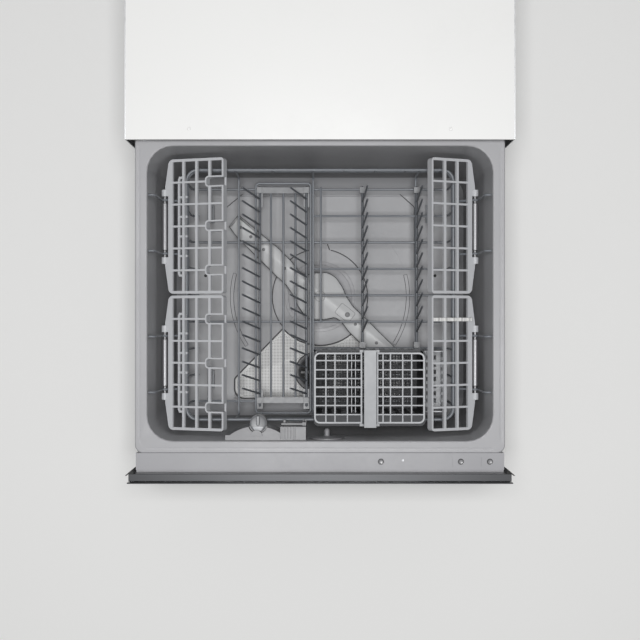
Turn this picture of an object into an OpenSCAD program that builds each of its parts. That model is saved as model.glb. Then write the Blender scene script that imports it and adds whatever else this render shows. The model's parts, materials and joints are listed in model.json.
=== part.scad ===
// Built-in dishwasher drawer, standing open. Origin: centre of the cabinet's underside.
// +X to the right, the front faces -Y, +Z up. Pieces of the drawer are drawn closed and moved out.

/* [Cabinet] */
// Width over the side panels
housing_w = 597; // [540:1:720]
// Depth from the front edge to the back panel
housing_d = 550; // [500:1:660]
// Height of the cabinet
housing_h = 410; // [380:1:500]
// Thickness of the sheet steel
sheet_t = 1.5; // [1:0.1:2.5]
// Height of the turned-up edges of the base pan
pan_edge = 14; // [8:1:20]
// How far the drawer stands open
open_travel = 510; // [300:1:510]

/* [Tub] */
// Gap between the tub rim and the outside of the cabinet
rim_gap = 11.5; // [9:0.5:16]
// Width of the flat rim beside the opening
rim_flat = 19; // [14:0.5:26]
// Width of the flat rim behind the opening
back_flat = 17.2; // [12:0.1:24]
// Width of the flat rim in front of the opening
front_flat = 18.6; // [14:0.1:30]
// Free depth behind the closed tub
back_gap = 29; // [20:1:50]
// Corner radius of the opening
opening_r = 40; // [34:1:44]
// Depth of the tub below its rim
tub_depth = 270; // [240:1:300]
// Wall thickness of the tub
wall_t = 3; // [2:0.1:4]
// Thickness of the tub floor
floor_t = 10; // [9:0.5:14]
// Radius between the walls and the floor
floor_fillet = 38; // [20:1:50]
// How much each side wall leans in over the depth
draft_x = 17; // [6:1:24]
// How much each end wall leans in over the depth
draft_y = 22; // [6:1:26]
// Height of the turned-down rim edge
rim_lip = 12; // [8:1:18]
// Space above the rim for the lid
lid_space = 30; // [26:1:40]

/* [Front] */
// Depth of the control strip
strip_d = 26.3; // [22:0.1:36]
// How far the strip stays behind the cabinet's front edge
strip_inset = 1.4; // [1:0.1:4]
// Height of the strip's body
strip_h = 28; // [20:1:36]
// Thickness of the drawer front
front_t = 15.3; // [13:0.1:24]
// Gap between the cabinet and the closed front
front_gap = 2.2; // [1.5:0.1:5]
// How much the front is narrower than the cabinet at each side
front_inset = 4.5; // [2:0.5:8]
// Height of the front's top edge above the tub rim
front_rise = 22; // [16:1:26]
// Gap under the front
front_low = 6; // [3:1:20]
// Radius of a push button
key_r = 4.7; // [3.5:0.1:6]
// Travel of a push button
key_travel = 0.8; // [0.4:0.1:1.2]

/* [Basket] */
// Gap between basket and tub wall at the sides, at the rim
basket_side_gap = 51; // [44:1:60]
// Gap between basket and tub wall at the ends, at the rim
basket_end_gap = 25.7; // [20:0.1:34]
// Height of the basket floor above the tub floor
basket_lift = 75; // [68:1:90]
// Height of the basket's top rail above its floor
basket_h = 97; // [80:1:100]
// Corner radius of the top rail
rail_bend = 18; // [12:1:30]
// Distance between the cross wires
cross_pitch = 45; // [36:1:60]
// Radius of the basket wire
wire_r = 1.9; // [1.5:0.1:2.2]
// Radius of the rail wire
rail_r = 2.3; // [1.9:0.1:2.8]
// Radius of a tine
tine_r = 1.6; // [1.2:0.1:1.9]
// Length of a tine
tine_len = 74; // [50:1:80]
// Distance between the tines
tine_pitch = 22; // [18:0.5:30]

/* [Cup racks] */
// Distance of the rack axle from the tub wall at the rim
axle_gap = 16; // [14:0.5:20]
// Depth of the rack axle below the rim
axle_drop = 96; // [90:1:104]
// Radius of the rack axle
axle_r = 2.5; // [2:0.1:3]
// Radius of the bright sleeve
sleeve_r = 5.35; // [4.5:0.05:6]
// Reach of a left rack from its axle
rack_reach_left = 105; // [80:1:105]
// Reach of a right rack from its axle
rack_reach_right = 83; // [70:1:100]
// Tilt of the left racks
tilt_left = 20; // [12:1:30]
// Tilt of the right racks
tilt_right = 26; // [12:1:30]
// Number of cross bars in a rack
rack_bars = 7; // [5:1:9]
// Thickness of a rack
rack_t = 5; // [3.5:0.5:6]

/* [Wash] */
// Length of the spray arm from its axis
arm_reach = 203; // [150:1:203]
// Width of the spray arm
arm_w = 40; // [30:1:50]
// Radius of the round sump
sump_r = 62; // [50:1:66]
// Radius of the drain filter
drain_r = 29; // [22:1:32]

/* [Cutlery] */
// Width of the cutlery basket
cutlery_w = 176; // [140:1:180]
// Depth of the cutlery basket
cutlery_d = 104; // [80:1:104]
// Height of the cutlery basket
cutlery_h = 130; // [110:1:130]
// Gap between the front rail and the cutlery basket
cutlery_gap = 9.65; // [8:0.05:16]
// Wall of the cutlery basket
cutlery_t = 2.5; // [2:0.1:3.5]

/* [Hidden] */

loose = 0.3;    // running gap between flat or free faces
turn_fit = 0.05; // radial clearance of a pin in its bore

// cabinet
side_x = housing_w / 2;
front_y = -housing_d / 2;
back_y = housing_d / 2;
inner_x = side_x - sheet_t;
inlet_x = 232;
inlet_z = 40;
inlet_r = 13;
inlet_len = 22;
inlet_bore_r = 9.5;
screw_r = 2.5;
screw_y = [front_y + 22, back_y - 60];
screw_z = [50, housing_h - 60];
top_screw_x = 200;
top_screw_y = front_y + 16;
through = 2;    // how far a cut runs past both faces

// tub, closed: the cavity is centred on X and on cavity_y
rim_z = housing_h - lid_space;
floor_z = rim_z - tub_depth;
rim_hw = side_x - rim_gap;
open_hw = rim_hw - rim_flat;
rim_y1 = back_y - back_gap;
strip_y0 = front_y + strip_inset;
rim_y0 = strip_y0 + strip_d;
cavity_y0 = rim_y0 + front_flat;
cavity_y1 = rim_y1 - back_flat;
cavity_y = (cavity_y0 + cavity_y1) / 2;
open_hd = (cavity_y1 - cavity_y0) / 2;
deep_r = opening_r - 7;
rim_t = 4;
lip_t = 2.5;
groove_in = 5;
groove_w = 4;
wide_step_r = 155;  // round steps of the floor
deep_step_r = 88;
panel_x = 163;      // corner-cut panel of the floor behind the sump
panel_back = 179;
panel_near = 48;
panel_cut = 18;
panel_line = 1.6;

// lid
lid_t = 10;
lid_z = rim_z + 3.3;
seal_h = 4;
seal_w = 5.5;
seal_out = groove_in + 0.5;
guide_y = 150;  // lid guides and the lid's ears
drive_x = 205;  // lid drives
lid_rib = 14;
lid_cell = [(2 * rim_hw - 5 * lid_rib) / 2 - 40, 70];

// front
panel_y1 = front_y - front_gap;
panel_y0 = panel_y1 - front_t;
panel_hw = side_x - front_inset;
panel_z1 = rim_z + front_rise;
skin_t = 1.8;
channel_w = 2.4;
channel_h = 14;
key_x = [94.6, 218.6, 263.6];
key_y = (strip_y0 + rim_y0) / 2 - 0.3;
lens_x = 128.7;

// runners
runner_z = floor_z + 52;
runner_h = 46;
runner_t = 1.6;
runner_d = rim_gap + 0.9;
flange_h = 3;   // turned-in flanges of the outer member
plate = 2;      // plates of the inner member
runner_y1 = back_y - 12;
runner_y0 = front_y + 10;
upright_x = rim_hw - lip_t - 2.5;

// basket
basket_z = floor_z + basket_lift;
basket_hw = open_hw - basket_side_gap;
basket_hd = open_hd - basket_end_gap;
rail_z = basket_z + basket_h;
long_z = basket_z + 2 * wire_r - 0.2;
mid_wire_z = rail_z - 20;
bend_r = 8;
stub = 2;
weld = 4;       // how far a wire runs past the last one that it crosses
cross_half = floor((basket_hd - rail_bend) / cross_pitch);
cross_y = [for (i = [-cross_half:cross_half]) cavity_y + 1 + i * cross_pitch];
long_x = [-basket_hw + 79, -11.6, basket_hw - 54.4];
foot_x = basket_hw - 27;
foot_y = basket_hd - 58;
foot_half = 11;
foot_r = 1.7;
foot_tie = cross_pitch * 0.75;
shoe_half = 4.5;

// tine rows: rod places and the direction that each row leans
rod_r = 2.2;
rod_z = basket_z + wire_r + 5 + rod_r;
row_gap = 79;
row_far_left = -basket_hw + 115;
row_mid_left = row_far_left + row_gap;
row_far_right = basket_hw - 53;
row_mid_right = row_far_right - 92;
row_back = cross_y[2 * cross_half] + 5;
row_front = cross_y[0] + 5;
clip_z = basket_z + wire_r + 0.1;
clip_half = 5;
clip_len = 10;
clip_back = 12;     // from the end of a rod to the far face of its clip
bracket_len = 34;
bracket_past = 6;   // how far the front feet run past their clips
bracket_top = rod_z - rod_r - 0.3;
frame_side = clip_half + wire_r + 0.15; // wire frame round the two left rows
frame_r = 6;
frame_y0 = cavity_y - basket_hd + 4;
frame_y1 = row_back + 5;

// cup racks
axle_x = open_hw - axle_gap;
axle_z = rim_z - axle_drop;
rack_gap = 3;
rack_end_gap = 9.75;
rack_len = open_hd - rack_end_gap - rack_gap / 2;
rack_c = (rack_len + rack_gap) / 2;
rack_in = 7;
rack_edge = 8;      // flat bar beside the axle
rack_rim = 3;       // deep strip along the inner edge
rack_deep = 8.5;    // how far the strip and the sockets hang below the bars
end_bar = 4.4;
cross_bar = 3.2;
long_bar = 4.2;
rack_corner = 9;
rim_corner = 5;
socket_w = 13;      // stem sockets of the left racks
socket_len = 30;
socket_t = 2.5;
socket_r = 4;
lip_h = 2.5;        // strip left standing across a socket's mouth
step_x = 22;
step_w = 14;
step_len = 162;
step_t = 4;
step_bar = 3.4;
step_rungs = 6;
sleeve_half = 38;
hook_at = 43.5;
knuckle_at = 49.5;
knuckle_w = 10.5;
knuckle_r = 5.5;
hang_r = 1.75;
eye_w = 4;
ring_r = axle_r + loose + hang_r;

// spray arm and drain
arm_z = floor_z + 27;
post_r = 8;
arm_turn = 142;
arm_tip_w = 33;
drain_x = -10;
drain_y = cavity_y0 + 96;
plate_top = floor_z - 5;
plate_t = 1.2;
filter_hw = 150;
filter_top = 66;
mesh_pitch = 13;
mesh_r = 2.2;

// cutlery basket
cutlery_x1 = basket_hw - 50;
cutlery_x0 = cutlery_x1 - cutlery_w;
cutlery_y0 = cavity_y - basket_hd + cutlery_gap;
cutlery_y1 = cutlery_y0 + cutlery_d;
cutlery_z0 = long_z + wire_r + 0.1;
cutlery_z1 = cutlery_z0 + cutlery_h;
flange_y0 = cutlery_y0 - 17;
handle_x = (cutlery_x0 + cutlery_x1) / 2;
handle_w = 19;
handle_rise = 34;
lid_pin_x = 12.8;
lid_axis_z = cutlery_z1 + 1.9;
lid_grid_t = 3.2;
ear_t = 4;

// dispenser
disp_x0 = -148;
disp_x1 = -22;
disp_z0 = rim_z - 90;
disp_z1 = rim_z - 12;
disp_face = cavity_y0 + 6;
dome_x = -99;
dome_r = 70;
dome_out = 22;
cap_x = -97;
cap_y = cavity_y0 + 25.5;
cap_r = 13;
cap_z = rim_z - 28;
flap_x = -25;
flap_w = 36;
flap_y = cavity_y0 + 23;
flap_z0 = disp_z0 + 5;
flap_z1 = disp_z1 - 26;
block_x0 = -62;     // block of the detergent cup
block_rise = 4;
rib_pitch = 5;

// vent cap on the front wall
vent_x = 11;
vent_z = rim_z - 36;
vent_r = 29.5;
vent_plug_r = 24;
vent_out = 2.2;
vent_dome = 2.8;
peg_r = 4.2;
peg_out = 17;

// ---------- helpers ----------

module drawer() translate([0, -open_travel, 0]) children();

module wire(a, b, r) {
    d = b - a;
    len = norm(d);
    translate(a) rotate([0, acos(d.z / len), atan2(d.y, d.x)]) cylinder(h = len, r = r, $fn = 20);
}

// quarter bend from +X towards +Y about the origin, then turned by rot
module bend(at, rot, bend_radius, r, turn = 90) {
    translate(at) rotate(rot) rotate_extrude(angle = turn, $fn = 32)
        translate([bend_radius, 0]) circle(r, $fn = 20);
}

module round_rect(w, d, r) {
    square([w - 2 * r, d], center = true);
    square([w, d - 2 * r], center = true);
    for (sx = [-1, 1], sy = [-1, 1])
        translate([sx * (w / 2 - r), sy * (d / 2 - r)]) circle(r, $fn = 32);
}

module box(x0, x1, y0, y1, z0, z1) {
    translate([x0, y0, z0]) cube([x1 - x0, y1 - y0, z1 - z0]);
}

// closed ring of points round a rectangle with round corners, counter-clockwise from above
function ring(hw, hd, r, z, cy = 0, n = 6) = [
    for (c = [0:3]) for (i = [0:n])
        let (a = 90 * c + 90 * i / n, sx = c == 0 || c == 3 ? 1 : -1, sy = c < 2 ? 1 : -1)
            [sx * (hw - r) + r * cos(a), cy + sy * (hd - r) + r * sin(a), z]];

// solid through a stack of rings with the same number of points
module skin(rings) {
    n = len(rings[0]);
    m = len(rings);
    points = [for (r = rings) each r];
    sides = [for (i = [0:m - 2]) for (j = [0:n - 1])
        each [[i * n + j, (i + 1) * n + j, (i + 1) * n + (j + 1) % n],
              [i * n + j, (i + 1) * n + (j + 1) % n, i * n + (j + 1) % n]]];
    low = [for (j = [0:n - 1]) j];
    top = [for (j = [n - 1:-1:0]) (m - 1) * n + j];
    polyhedron(points, concat([low], sides, [top]));
}

// ---------- cabinet ----------

module housing_base() {
    color("gainsboro") difference() {
        box(-inner_x, inner_x, front_y, back_y - sheet_t, 0, pan_edge);
        box(-inner_x + sheet_t, inner_x - sheet_t, front_y + sheet_t, back_y - 2 * sheet_t,
            sheet_t, pan_edge + 1);
        for (sx = [-1, 1]) translate([sx * 150, 0, -1])
            linear_extrude(sheet_t + through) round_rect(90, 260, 20);
    }
}

module housing_side() {
    color("gainsboro") difference() {
        box(inner_x, side_x, front_y, back_y, 0, housing_h);
        for (y = screw_y, z = screw_z) translate([inner_x - 1, y, z]) rotate([0, 90, 0])
            cylinder(h = sheet_t + 2, r = screw_r, $fn = 24);
        translate([inner_x - 1, 0, housing_h - 130]) rotate([90, 0, 90])
            linear_extrude(sheet_t + 2) round_rect(260, 40, 12);
    }
}

module housing_back() {
    color("gainsboro") difference() {
        box(-inner_x, inner_x, back_y - sheet_t, back_y, 0, housing_h - sheet_t);
        translate([inlet_x, back_y + 1, inlet_z]) rotate([90, 0, 0])
            cylinder(h = sheet_t + 2, r = inlet_r + 1.5, $fn = 32);
        translate([-170, back_y + 1, 60]) rotate([90, 0, 0])
            linear_extrude(sheet_t + 2) round_rect(120, 50, 12);
    }
}

module housing_top() {
    color("whitesmoke") difference() {
        box(-inner_x, inner_x, front_y, back_y, housing_h - sheet_t, housing_h);
        for (sx = [-1, 1]) translate([sx * top_screw_x, top_screw_y, housing_h - sheet_t - 1])
            cylinder(h = sheet_t + 2, r = screw_r, $fn = 24);
    }
    color("whitesmoke") box(-inner_x, inner_x, front_y, front_y + sheet_t,
        housing_h - sheet_t - 5, housing_h - sheet_t);
}

module runner_outer() {
    z0 = runner_z - runner_h / 2;
    color("silver") difference() {
        box(inner_x - runner_d, inner_x, runner_y0, runner_y1, z0, z0 + runner_h);
        box(inner_x - runner_d - 1, inner_x - runner_t, runner_y0 - 1, runner_y1 + 1,
            z0 + runner_t, z0 + runner_h - runner_t);
    }
    // turned-in flanges that keep the middle member
    color("silver") for (z = [z0, z0 + runner_h - runner_t - flange_h])
        box(inner_x - runner_d, inner_x - runner_d + runner_t, runner_y0, runner_y1,
            z, z + runner_t + flange_h);
}

module runner_middle_closed() {
    x1 = inner_x - runner_t - loose;
    x0 = upright_x + plate + loose;
    neck_x = inner_x - runner_d + runner_t + loose;
    y0 = runner_y0 + 4;
    y1 = runner_y1 - 12;
    z0 = runner_z - runner_h / 2 + runner_t + loose;
    h = runner_h - 2 * (runner_t + loose);
    color("silver") {
        // wide part behind the flanges
        difference() {
            box(neck_x, x1, y0, y1, z0, z0 + h);
            box(neck_x - runner_d, x1 - runner_t, y0 - 1, y1 + 1, z0 + runner_t, z0 + h - runner_t);
        }
        // narrower neck through the gap between the flanges
        difference() {
            box(x0, neck_x, y0, y1, z0 + 2 * runner_t, z0 + h - 2 * runner_t);
            box(x0 - 1, x1, y0 - 1, y1 + 1, z0 + 3 * runner_t, z0 + h - 3 * runner_t);
        }
        for (z = [z0, z0 + h - 3 * runner_t])
            box(neck_x, neck_x + runner_t, y0, y1, z, z + 3 * runner_t);
    }
}

module runner_inner() {
    x1 = inner_x - 2 * runner_t - 4 * loose;
    x0 = upright_x;
    h = runner_h - 2 * (4 * runner_t + 2 * loose);
    z0 = runner_z - h / 2;
    z1 = z0 + h;
    color("silver") {
        // bar that runs inside the middle member
        box(x0 + plate, x1, runner_y0, runner_y1 - 20, z0, z1);
        box(x0, x0 + plate, runner_y0, runner_y1 - 20, z0 - 6, z1 + 6);
        // uprights to the underside of the tub rim
        for (y = [runner_y0 + 30, cavity_y - 20, rim_y1 - 60])
            box(x0, x0 + plate, y, y + 40, z1, rim_z - rim_t);
        // flange behind the drawer front
        box(x0 - 20, x0 + plate, panel_y1, panel_y1 + plate, z0 - 6, rim_z - 50);
        box(x0, x0 + plate, panel_y1, runner_y0 + 1, z0 - 6, rim_z - 50);
    }
}

module lid_guides() {
    color("dimgray") for (sx = [-1, 1], y = [-guide_y, guide_y])
        translate([0, y, 0]) mirror([sx < 0 ? 1 : 0, 0, 0]) difference() {
            box(rim_hw + 1.5, inner_x, -14, 14, rim_z + 1.5, housing_h - sheet_t - 1);
            box(rim_hw, inner_x - 4, -6.3, 6.3, rim_z + 3.5, housing_h - sheet_t - 3.5);
        }
}

module lid_drives() {
    color("dimgray") for (sx = [-1, 1]) translate([sx * drive_x, 0, 0]) {
        box(-32, 32, back_y - sheet_t - 20, back_y - sheet_t, rim_z - 52, rim_z - 8);
        translate([0, back_y - sheet_t - 20, rim_z - 30]) rotate([90, 0, 0])
            cylinder(h = 4, r = 14, $fn = 32);
    }
}

module inlet_valve() {
    color("dimgray") difference() {
        union() {
            box(inlet_x - 24, inlet_x + 24, back_y - 48, back_y - 2 * sheet_t, sheet_t, inlet_z + 22);
            translate([inlet_x, back_y - 2 * sheet_t - 1, inlet_z]) rotate([-90, 0, 0])
                cylinder(h = inlet_len + 2 * sheet_t + 1, r = inlet_r, $fn = 32);
        }
        translate([inlet_x, back_y - 12, inlet_z]) rotate([-90, 0, 0])
            cylinder(h = 2 * inlet_len, r = inlet_bore_r, $fn = 32);
    }
}

// ---------- lid ----------

module lid_seal() {
    color("dimgray") translate([0, (rim_y0 + rim_y1) / 2, lid_z]) linear_extrude(seal_h)
        difference() {
            round_rect(2 * (rim_hw - seal_out), rim_y1 - rim_y0 - 2 * seal_out, 30);
            round_rect(2 * (rim_hw - seal_out - seal_w), rim_y1 - rim_y0 - 2 * (seal_out + seal_w), 25);
        }
}

module lid_panel() {
    z0 = lid_z + seal_h;
    color("gainsboro") difference() {
        translate([0, (rim_y0 + rim_y1) / 2, z0]) linear_extrude(lid_t)
            round_rect(2 * (rim_hw - 4), rim_y1 - rim_y0 - 8, 30);
        for (sx = [-1, 1], i = [-2:2])
            translate([sx * (lid_cell.x + lid_rib) / 2, (rim_y0 + rim_y1) / 2 + i * (lid_cell.y + lid_rib),
                z0 + 3])
                linear_extrude(lid_t) round_rect(lid_cell.x, lid_cell.y, 12);
    }
    color("gainsboro") for (sx = [-1, 1], y = [-guide_y, guide_y])
        translate([0, y, 0]) mirror([sx < 0 ? 1 : 0, 0, 0])
            box(rim_hw - 6, inner_x - 5, -6, 6, z0 + 1, z0 + 8);
}

// ---------- tub ----------

// half sizes of the cavity at a height, without the floor fillet
function lean(z) = pow((rim_z - z) / tub_depth, 2);
function cav_hw(z) = open_hw - draft_x * lean(z);
function cav_hd(z) = open_hd - draft_y * lean(z);
fillet_z = floor_z + floor_fillet;

function cavity_ring(z, grow, r) = ring(cav_hw(z) + grow, cav_hd(z) + grow, r + grow, z, cavity_y);
function fillet_ring(a, grow) = let (
    z = fillet_z - (floor_fillet + grow) * sin(a),
    inset = floor_fillet - (floor_fillet + grow) * cos(a),
    hw = cav_hw(fillet_z) - inset,
    hd = cav_hd(fillet_z) - inset)
        ring(hw, hd, max(14, deep_r - 0.6 * inset), z, cavity_y);
function rim_ring(inset, z, r) = ring(rim_hw - inset, (rim_y1 - rim_y0) / 2 - inset,
    r, z, (rim_y0 + rim_y1) / 2);

module tub_shell() {
    flat_hw = cav_hw(fillet_z) - floor_fillet;
    flat_hd = cav_hd(fillet_z) - floor_fillet;
    skin(concat(
        [ring(flat_hw, flat_hd, 14, floor_z - floor_t, cavity_y)],
        [for (a = [80:-20:0]) fillet_ring(a, wall_t)],
        [cavity_ring((fillet_z + axle_z) / 2, wall_t, deep_r),
         cavity_ring(axle_z, wall_t, deep_r),
         cavity_ring(rim_z - rim_t, wall_t, opening_r),
         rim_ring(lip_t, rim_z - rim_t, 10),
         rim_ring(lip_t, rim_z - rim_lip, 10),
         rim_ring(0, rim_z - rim_lip, 12),
         rim_ring(0, rim_z - 1.2, 12),
         rim_ring(1.2, rim_z, 12),
         rim_ring(groove_in, rim_z, 14),
         rim_ring(groove_in + 0.5, rim_z - 1, 14),
         rim_ring(groove_in + groove_w - 0.5, rim_z - 1, 16),
         rim_ring(groove_in + groove_w, rim_z, 16),
         ring(open_hw + 2.4, open_hd + 2.4, opening_r + 2.4, rim_z, cavity_y),
         ring(open_hw + 0.6, open_hd + 0.6, opening_r + 0.6, rim_z - 0.8, cavity_y),
         ring(open_hw, open_hd, opening_r, rim_z - 2.6, cavity_y),
         cavity_ring(axle_z, 0, deep_r),
         cavity_ring((fillet_z + axle_z) / 2, 0, deep_r)],
        [for (a = [0:15:90]) fillet_ring(a, 0)]));
}

// outline of the filter plate, symmetric about the sump
module filter_outline(grow) {
    y0 = drain_y - 46 - grow;
    x1 = filter_hw + grow;
    difference() {
        polygon([[-x1, y0], [x1, y0], [x1, y0 + 34 + grow], [filter_top, -58 + grow],
                 [-filter_top, -58 + grow], [-x1, y0 + 34 + grow]]);
        circle(r = deep_step_r - 1.5 - grow, $fn = 64);
    }
}

// corner-cut outline of the floor panel behind the sump
module panel_outline(inset) {
    x1 = panel_x - inset;
    y0 = panel_near + inset;
    y1 = panel_back - inset;
    polygon([[-x1, y0], [x1, y0], [x1, y1 - panel_cut], [x1 - panel_cut, y1],
             [-x1 + panel_cut, y1], [-x1, y1 - panel_cut]]);
}

module tub() {
    color("silver") difference() {
        tub_shell();
        translate([0, cavity_y, floor_z - floor_t - 1]) cylinder(h = 20, r = sump_r, $fn = 64);
        // round steps of the floor
        translate([0, cavity_y, floor_z - 2]) cylinder(h = 4, r = wide_step_r, $fn = 96);
        translate([0, cavity_y, floor_z - 4]) cylinder(h = 4, r = deep_step_r, $fn = 96);
        // fine line round the floor panel
        translate([0, 0, floor_z - 1]) linear_extrude(4) difference() {
            panel_outline(0);
            panel_outline(panel_line);
        }
        // seat of the filter plate and the drain well
        translate([0, cavity_y, plate_top - plate_t]) linear_extrude(20) filter_outline(0.3);
        translate([drain_x, drain_y, floor_z - floor_t - 1])
            cylinder(h = 20, r = drain_r + 4, $fn = 64);
        // hole of the vent cap
        translate([vent_x, cavity_y0 - 2 * wall_t, vent_z]) rotate([-90, 0, 0])
            cylinder(h = 4 * wall_t, r = vent_plug_r + turn_fit, $fn = 64);
        // window of the dispenser
        box(disp_x0 - 0.2, disp_x1 + 0.2, cavity_y0 - 10, cavity_y0 + 16,
            disp_z0 - 0.2, disp_z1 + 0.2);
    }
}

// ---------- drawer front ----------

module control_strip() {
    z0 = rim_z - strip_h;
    color("silver") difference() {
        union() {
            box(-rim_hw + 1.4, rim_hw - 1.4, strip_y0, rim_y0, z0, rim_z);
            box(-rim_hw + 1.4, rim_hw - 1.4, panel_y1, rim_y0, z0, rim_z - 6);
        }
        // hollow underside
        box(-rim_hw + 4, rim_hw - 4, panel_y1 + 2.5, rim_y0 - 2.5, z0 - 1, rim_z - 8.5);
        for (x = key_x) translate([x, key_y, rim_z - 12])
            cylinder(h = 20, r = key_r + turn_fit, $fn = 48);
        translate([lens_x, key_y + 2.2, rim_z - 12]) cylinder(h = 20, r = 1.6, $fn = 24);
        // fine lines that part the groups of controls
        for (x = [key_x[1] - 13, key_x[2] - 13.5])
            box(x - 0.3, x + 0.3, key_y - 8, key_y + 7, rim_z - 0.5, rim_z + 1);
    }
}

module indicator_lens() {
    color("white") translate([lens_x, key_y + 2.2, rim_z - 9]) cylinder(h = 9.2, r = 1.58, $fn = 24);
}

module button(i) {
    color("dimgray") translate([key_x[i], key_y, 0]) difference() {
        union() {
            translate([0, 0, rim_z - 7.6]) cylinder(h = 7.4 + key_travel, r = key_r, $fn = 48);
            translate([0, 0, rim_z - 11]) cylinder(h = 2.2, r = key_r + 1.6, $fn = 48);
            translate([0, 0, rim_z - 9]) cylinder(h = 2, r = key_r, $fn = 48);
        }
        translate([0, 0, rim_z + key_travel - 0.6]) cylinder(h = 2, r = key_r - 1.2, $fn = 48);
    }
}

module drawer_front() {
    z0 = front_low;
    color("dimgray") difference() {
        union() {
            box(-panel_hw, panel_hw, panel_y0 + skin_t, panel_y1, z0, panel_z1);
            box(-panel_hw - 2.5, panel_hw + 2.5, panel_y0, panel_y0 + skin_t, z0, panel_z1);
        }
        // finger channel along the top edge
        box(-panel_hw - 1, panel_hw + 1, panel_y0 + skin_t, panel_y0 + skin_t + channel_w,
            panel_z1 - channel_h, panel_z1 + 1);
        // open back of the folded panel, with stiffening ribs left standing
        for (i = [-2:1])
            box(i * panel_hw / 2 + (i == -2 ? 14 : 4), (i + 1) * panel_hw / 2 - (i == 1 ? 14 : 4),
                panel_y0 + skin_t + channel_w + 1, panel_y1 + 1,
                z0 + 12, rim_z - strip_h - 12);
    }
}

module front_gasket() {
    color("black") for (sx = [-1, 1]) mirror([sx < 0 ? 1 : 0, 0, 0])
        translate([0, 0, front_low + 14]) linear_extrude(panel_z1 - front_low - 14)
            polygon([[rim_hw - 1.2, panel_y1], [rim_hw + 1.5, panel_y1 + 6.7],
                     [side_x + 0.5, panel_y1 - 2.3], [side_x - 1, panel_y1 - 3.2],
                     [panel_hw + 0.1, panel_y1]]);
}

// ---------- wash parts ----------

module sump() {
    z0 = floor_z - 68;
    color("dimgray") difference() {
        union() {
            translate([0, cavity_y, z0]) cylinder(h = 58, r = sump_r + 8, $fn = 64);
            translate([0, cavity_y, floor_z - floor_t - 1]) cylinder(h = 6, r = sump_r - 0.2, $fn = 64);
            // post of the spray arm
            translate([0, cavity_y, floor_z - 6]) cylinder(h = 28, r = 16, $fn = 48);
            translate([0, cavity_y, floor_z + 20]) cylinder(h = 20, r = post_r, $fn = 48);
            // drain well
            translate([drain_x, drain_y, z0]) cylinder(h = 58, r = drain_r + 6, $fn = 64);
            box(drain_x - 22, drain_x + 22, drain_y, cavity_y, z0, z0 + 34);
        }
        translate([drain_x, drain_y, z0 + 4]) cylinder(h = 60, r = drain_r + loose, $fn = 64);
        // water ring under the arm
        translate([0, cavity_y, floor_z - 9]) difference() {
            cylinder(h = 10, r = sump_r - 6, $fn = 64);
            translate([0, 0, -1]) cylinder(h = 12, r = 26, $fn = 48);
        }
    }
}

module wash_motor() {
    color("silver") translate([0, cavity_y, floor_z - 68 - 26]) {
        cylinder(h = 26, r = 46, $fn = 64);
        for (a = [45:90:315]) rotate(a) translate([46, 0, 14]) cylinder(h = 12, r = 8, $fn = 24);
    }
}

module drain_pump() {
    color("black") translate([drain_x - drain_r - 6, drain_y, floor_z - 46]) rotate([0, -90, 0]) {
        cylinder(h = 12, r = 18, $fn = 48);
        translate([0, 0, 12]) cylinder(h = 40, r = 24, $fn = 48);
    }
}

module filter_plate() {
    well = [drain_x, drain_y - cavity_y];
    color("lightgray") translate([0, cavity_y, plate_top - plate_t]) linear_extrude(plate_t)
        difference() {
            filter_outline(0);
            translate(well) circle(r = drain_r + 2, $fn = 64);
            for (i = [-10:10], j = [0:8]) {
                p = [i * mesh_pitch, well.y - 38 + j * mesh_pitch];
                if (norm(p) > deep_step_r + mesh_r + 3 && norm(p - well) > drain_r + 8
                    && abs(p.x) + max(0, p.y + 110) * 1.05 < filter_hw - 10 && p.y < -64)
                    translate(p) circle(r = mesh_r, $fn = 16);
            }
        }
}

module drain_filter() {
    color("dimgray") translate([drain_x, drain_y, 0]) {
        difference() {
            union() {
                translate([0, 0, floor_z - 62]) cylinder(h = 62 - 5 + 1.5, r = drain_r, $fn = 64);
                translate([0, 0, plate_top + 0.3]) cylinder(h = 2.4, r = drain_r + 5, $fn = 64);
            }
            translate([0, 0, floor_z - 58]) cylinder(h = 80, r = drain_r - 4, $fn = 64);
            for (a = [0:30:150], z = [0, 1, 2]) translate([0, 0, floor_z - 48 + z * 13]) rotate(a)
                cube([4 * drain_r, 7, 7], center = true);
        }
        // grip across the mouth
        box(-drain_r + 2, drain_r - 2, -2.5, 2.5, plate_top - 6, floor_z + 8);
    }
}

function arm_half(x) = let (u = abs(x) / arm_reach)
    u > 0.93 ? arm_tip_w / 2 * sqrt(max(0.02, 1 - pow((u - 0.93) / 0.072, 2)))
    : arm_w / 2 - (arm_w - arm_tip_w) / 2 * u + 24 * exp(-pow(x / 42, 2));
function arm_top(x) = 15 - 6 * abs(x) / arm_reach;
arm_x = [-1, -0.985, -0.96, -0.93, -0.75, -0.5, -0.35, -0.25, -0.17, -0.1, 0,
         0.1, 0.17, 0.25, 0.35, 0.5, 0.75, 0.93, 0.96, 0.985, 1];
arm_steps = 8;

module spray_arm() {
    color("silver") translate([0, cavity_y, arm_z]) rotate(arm_turn) difference() {
        union() {
            rotate([90, 0, 90]) skin([for (s = arm_x) let (x = s * arm_reach, w = arm_half(x))
                concat([[w, 0, x]],
                    [for (i = [0:arm_steps]) let (a = 180 * i / arm_steps)
                        [w * cos(a), 3 + (arm_top(x) - 3) * sin(a), x]],
                    [[-w, 0, x]])]);
            translate([0, 0, -4.7]) cylinder(h = 24.7, r = 15, $fn = 48);
        }
        translate([0, 0, -6]) cylinder(h = 21, r = post_r + turn_fit, $fn = 48);
        for (x = [45, 90, 135, 175, -70, -115, -155, -188])
            translate([x, x > 0 ? 5 : -5, 2]) cylinder(h = 20, r = 2, $fn = 20);
    }
}

// ---------- dispenser ----------

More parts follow.
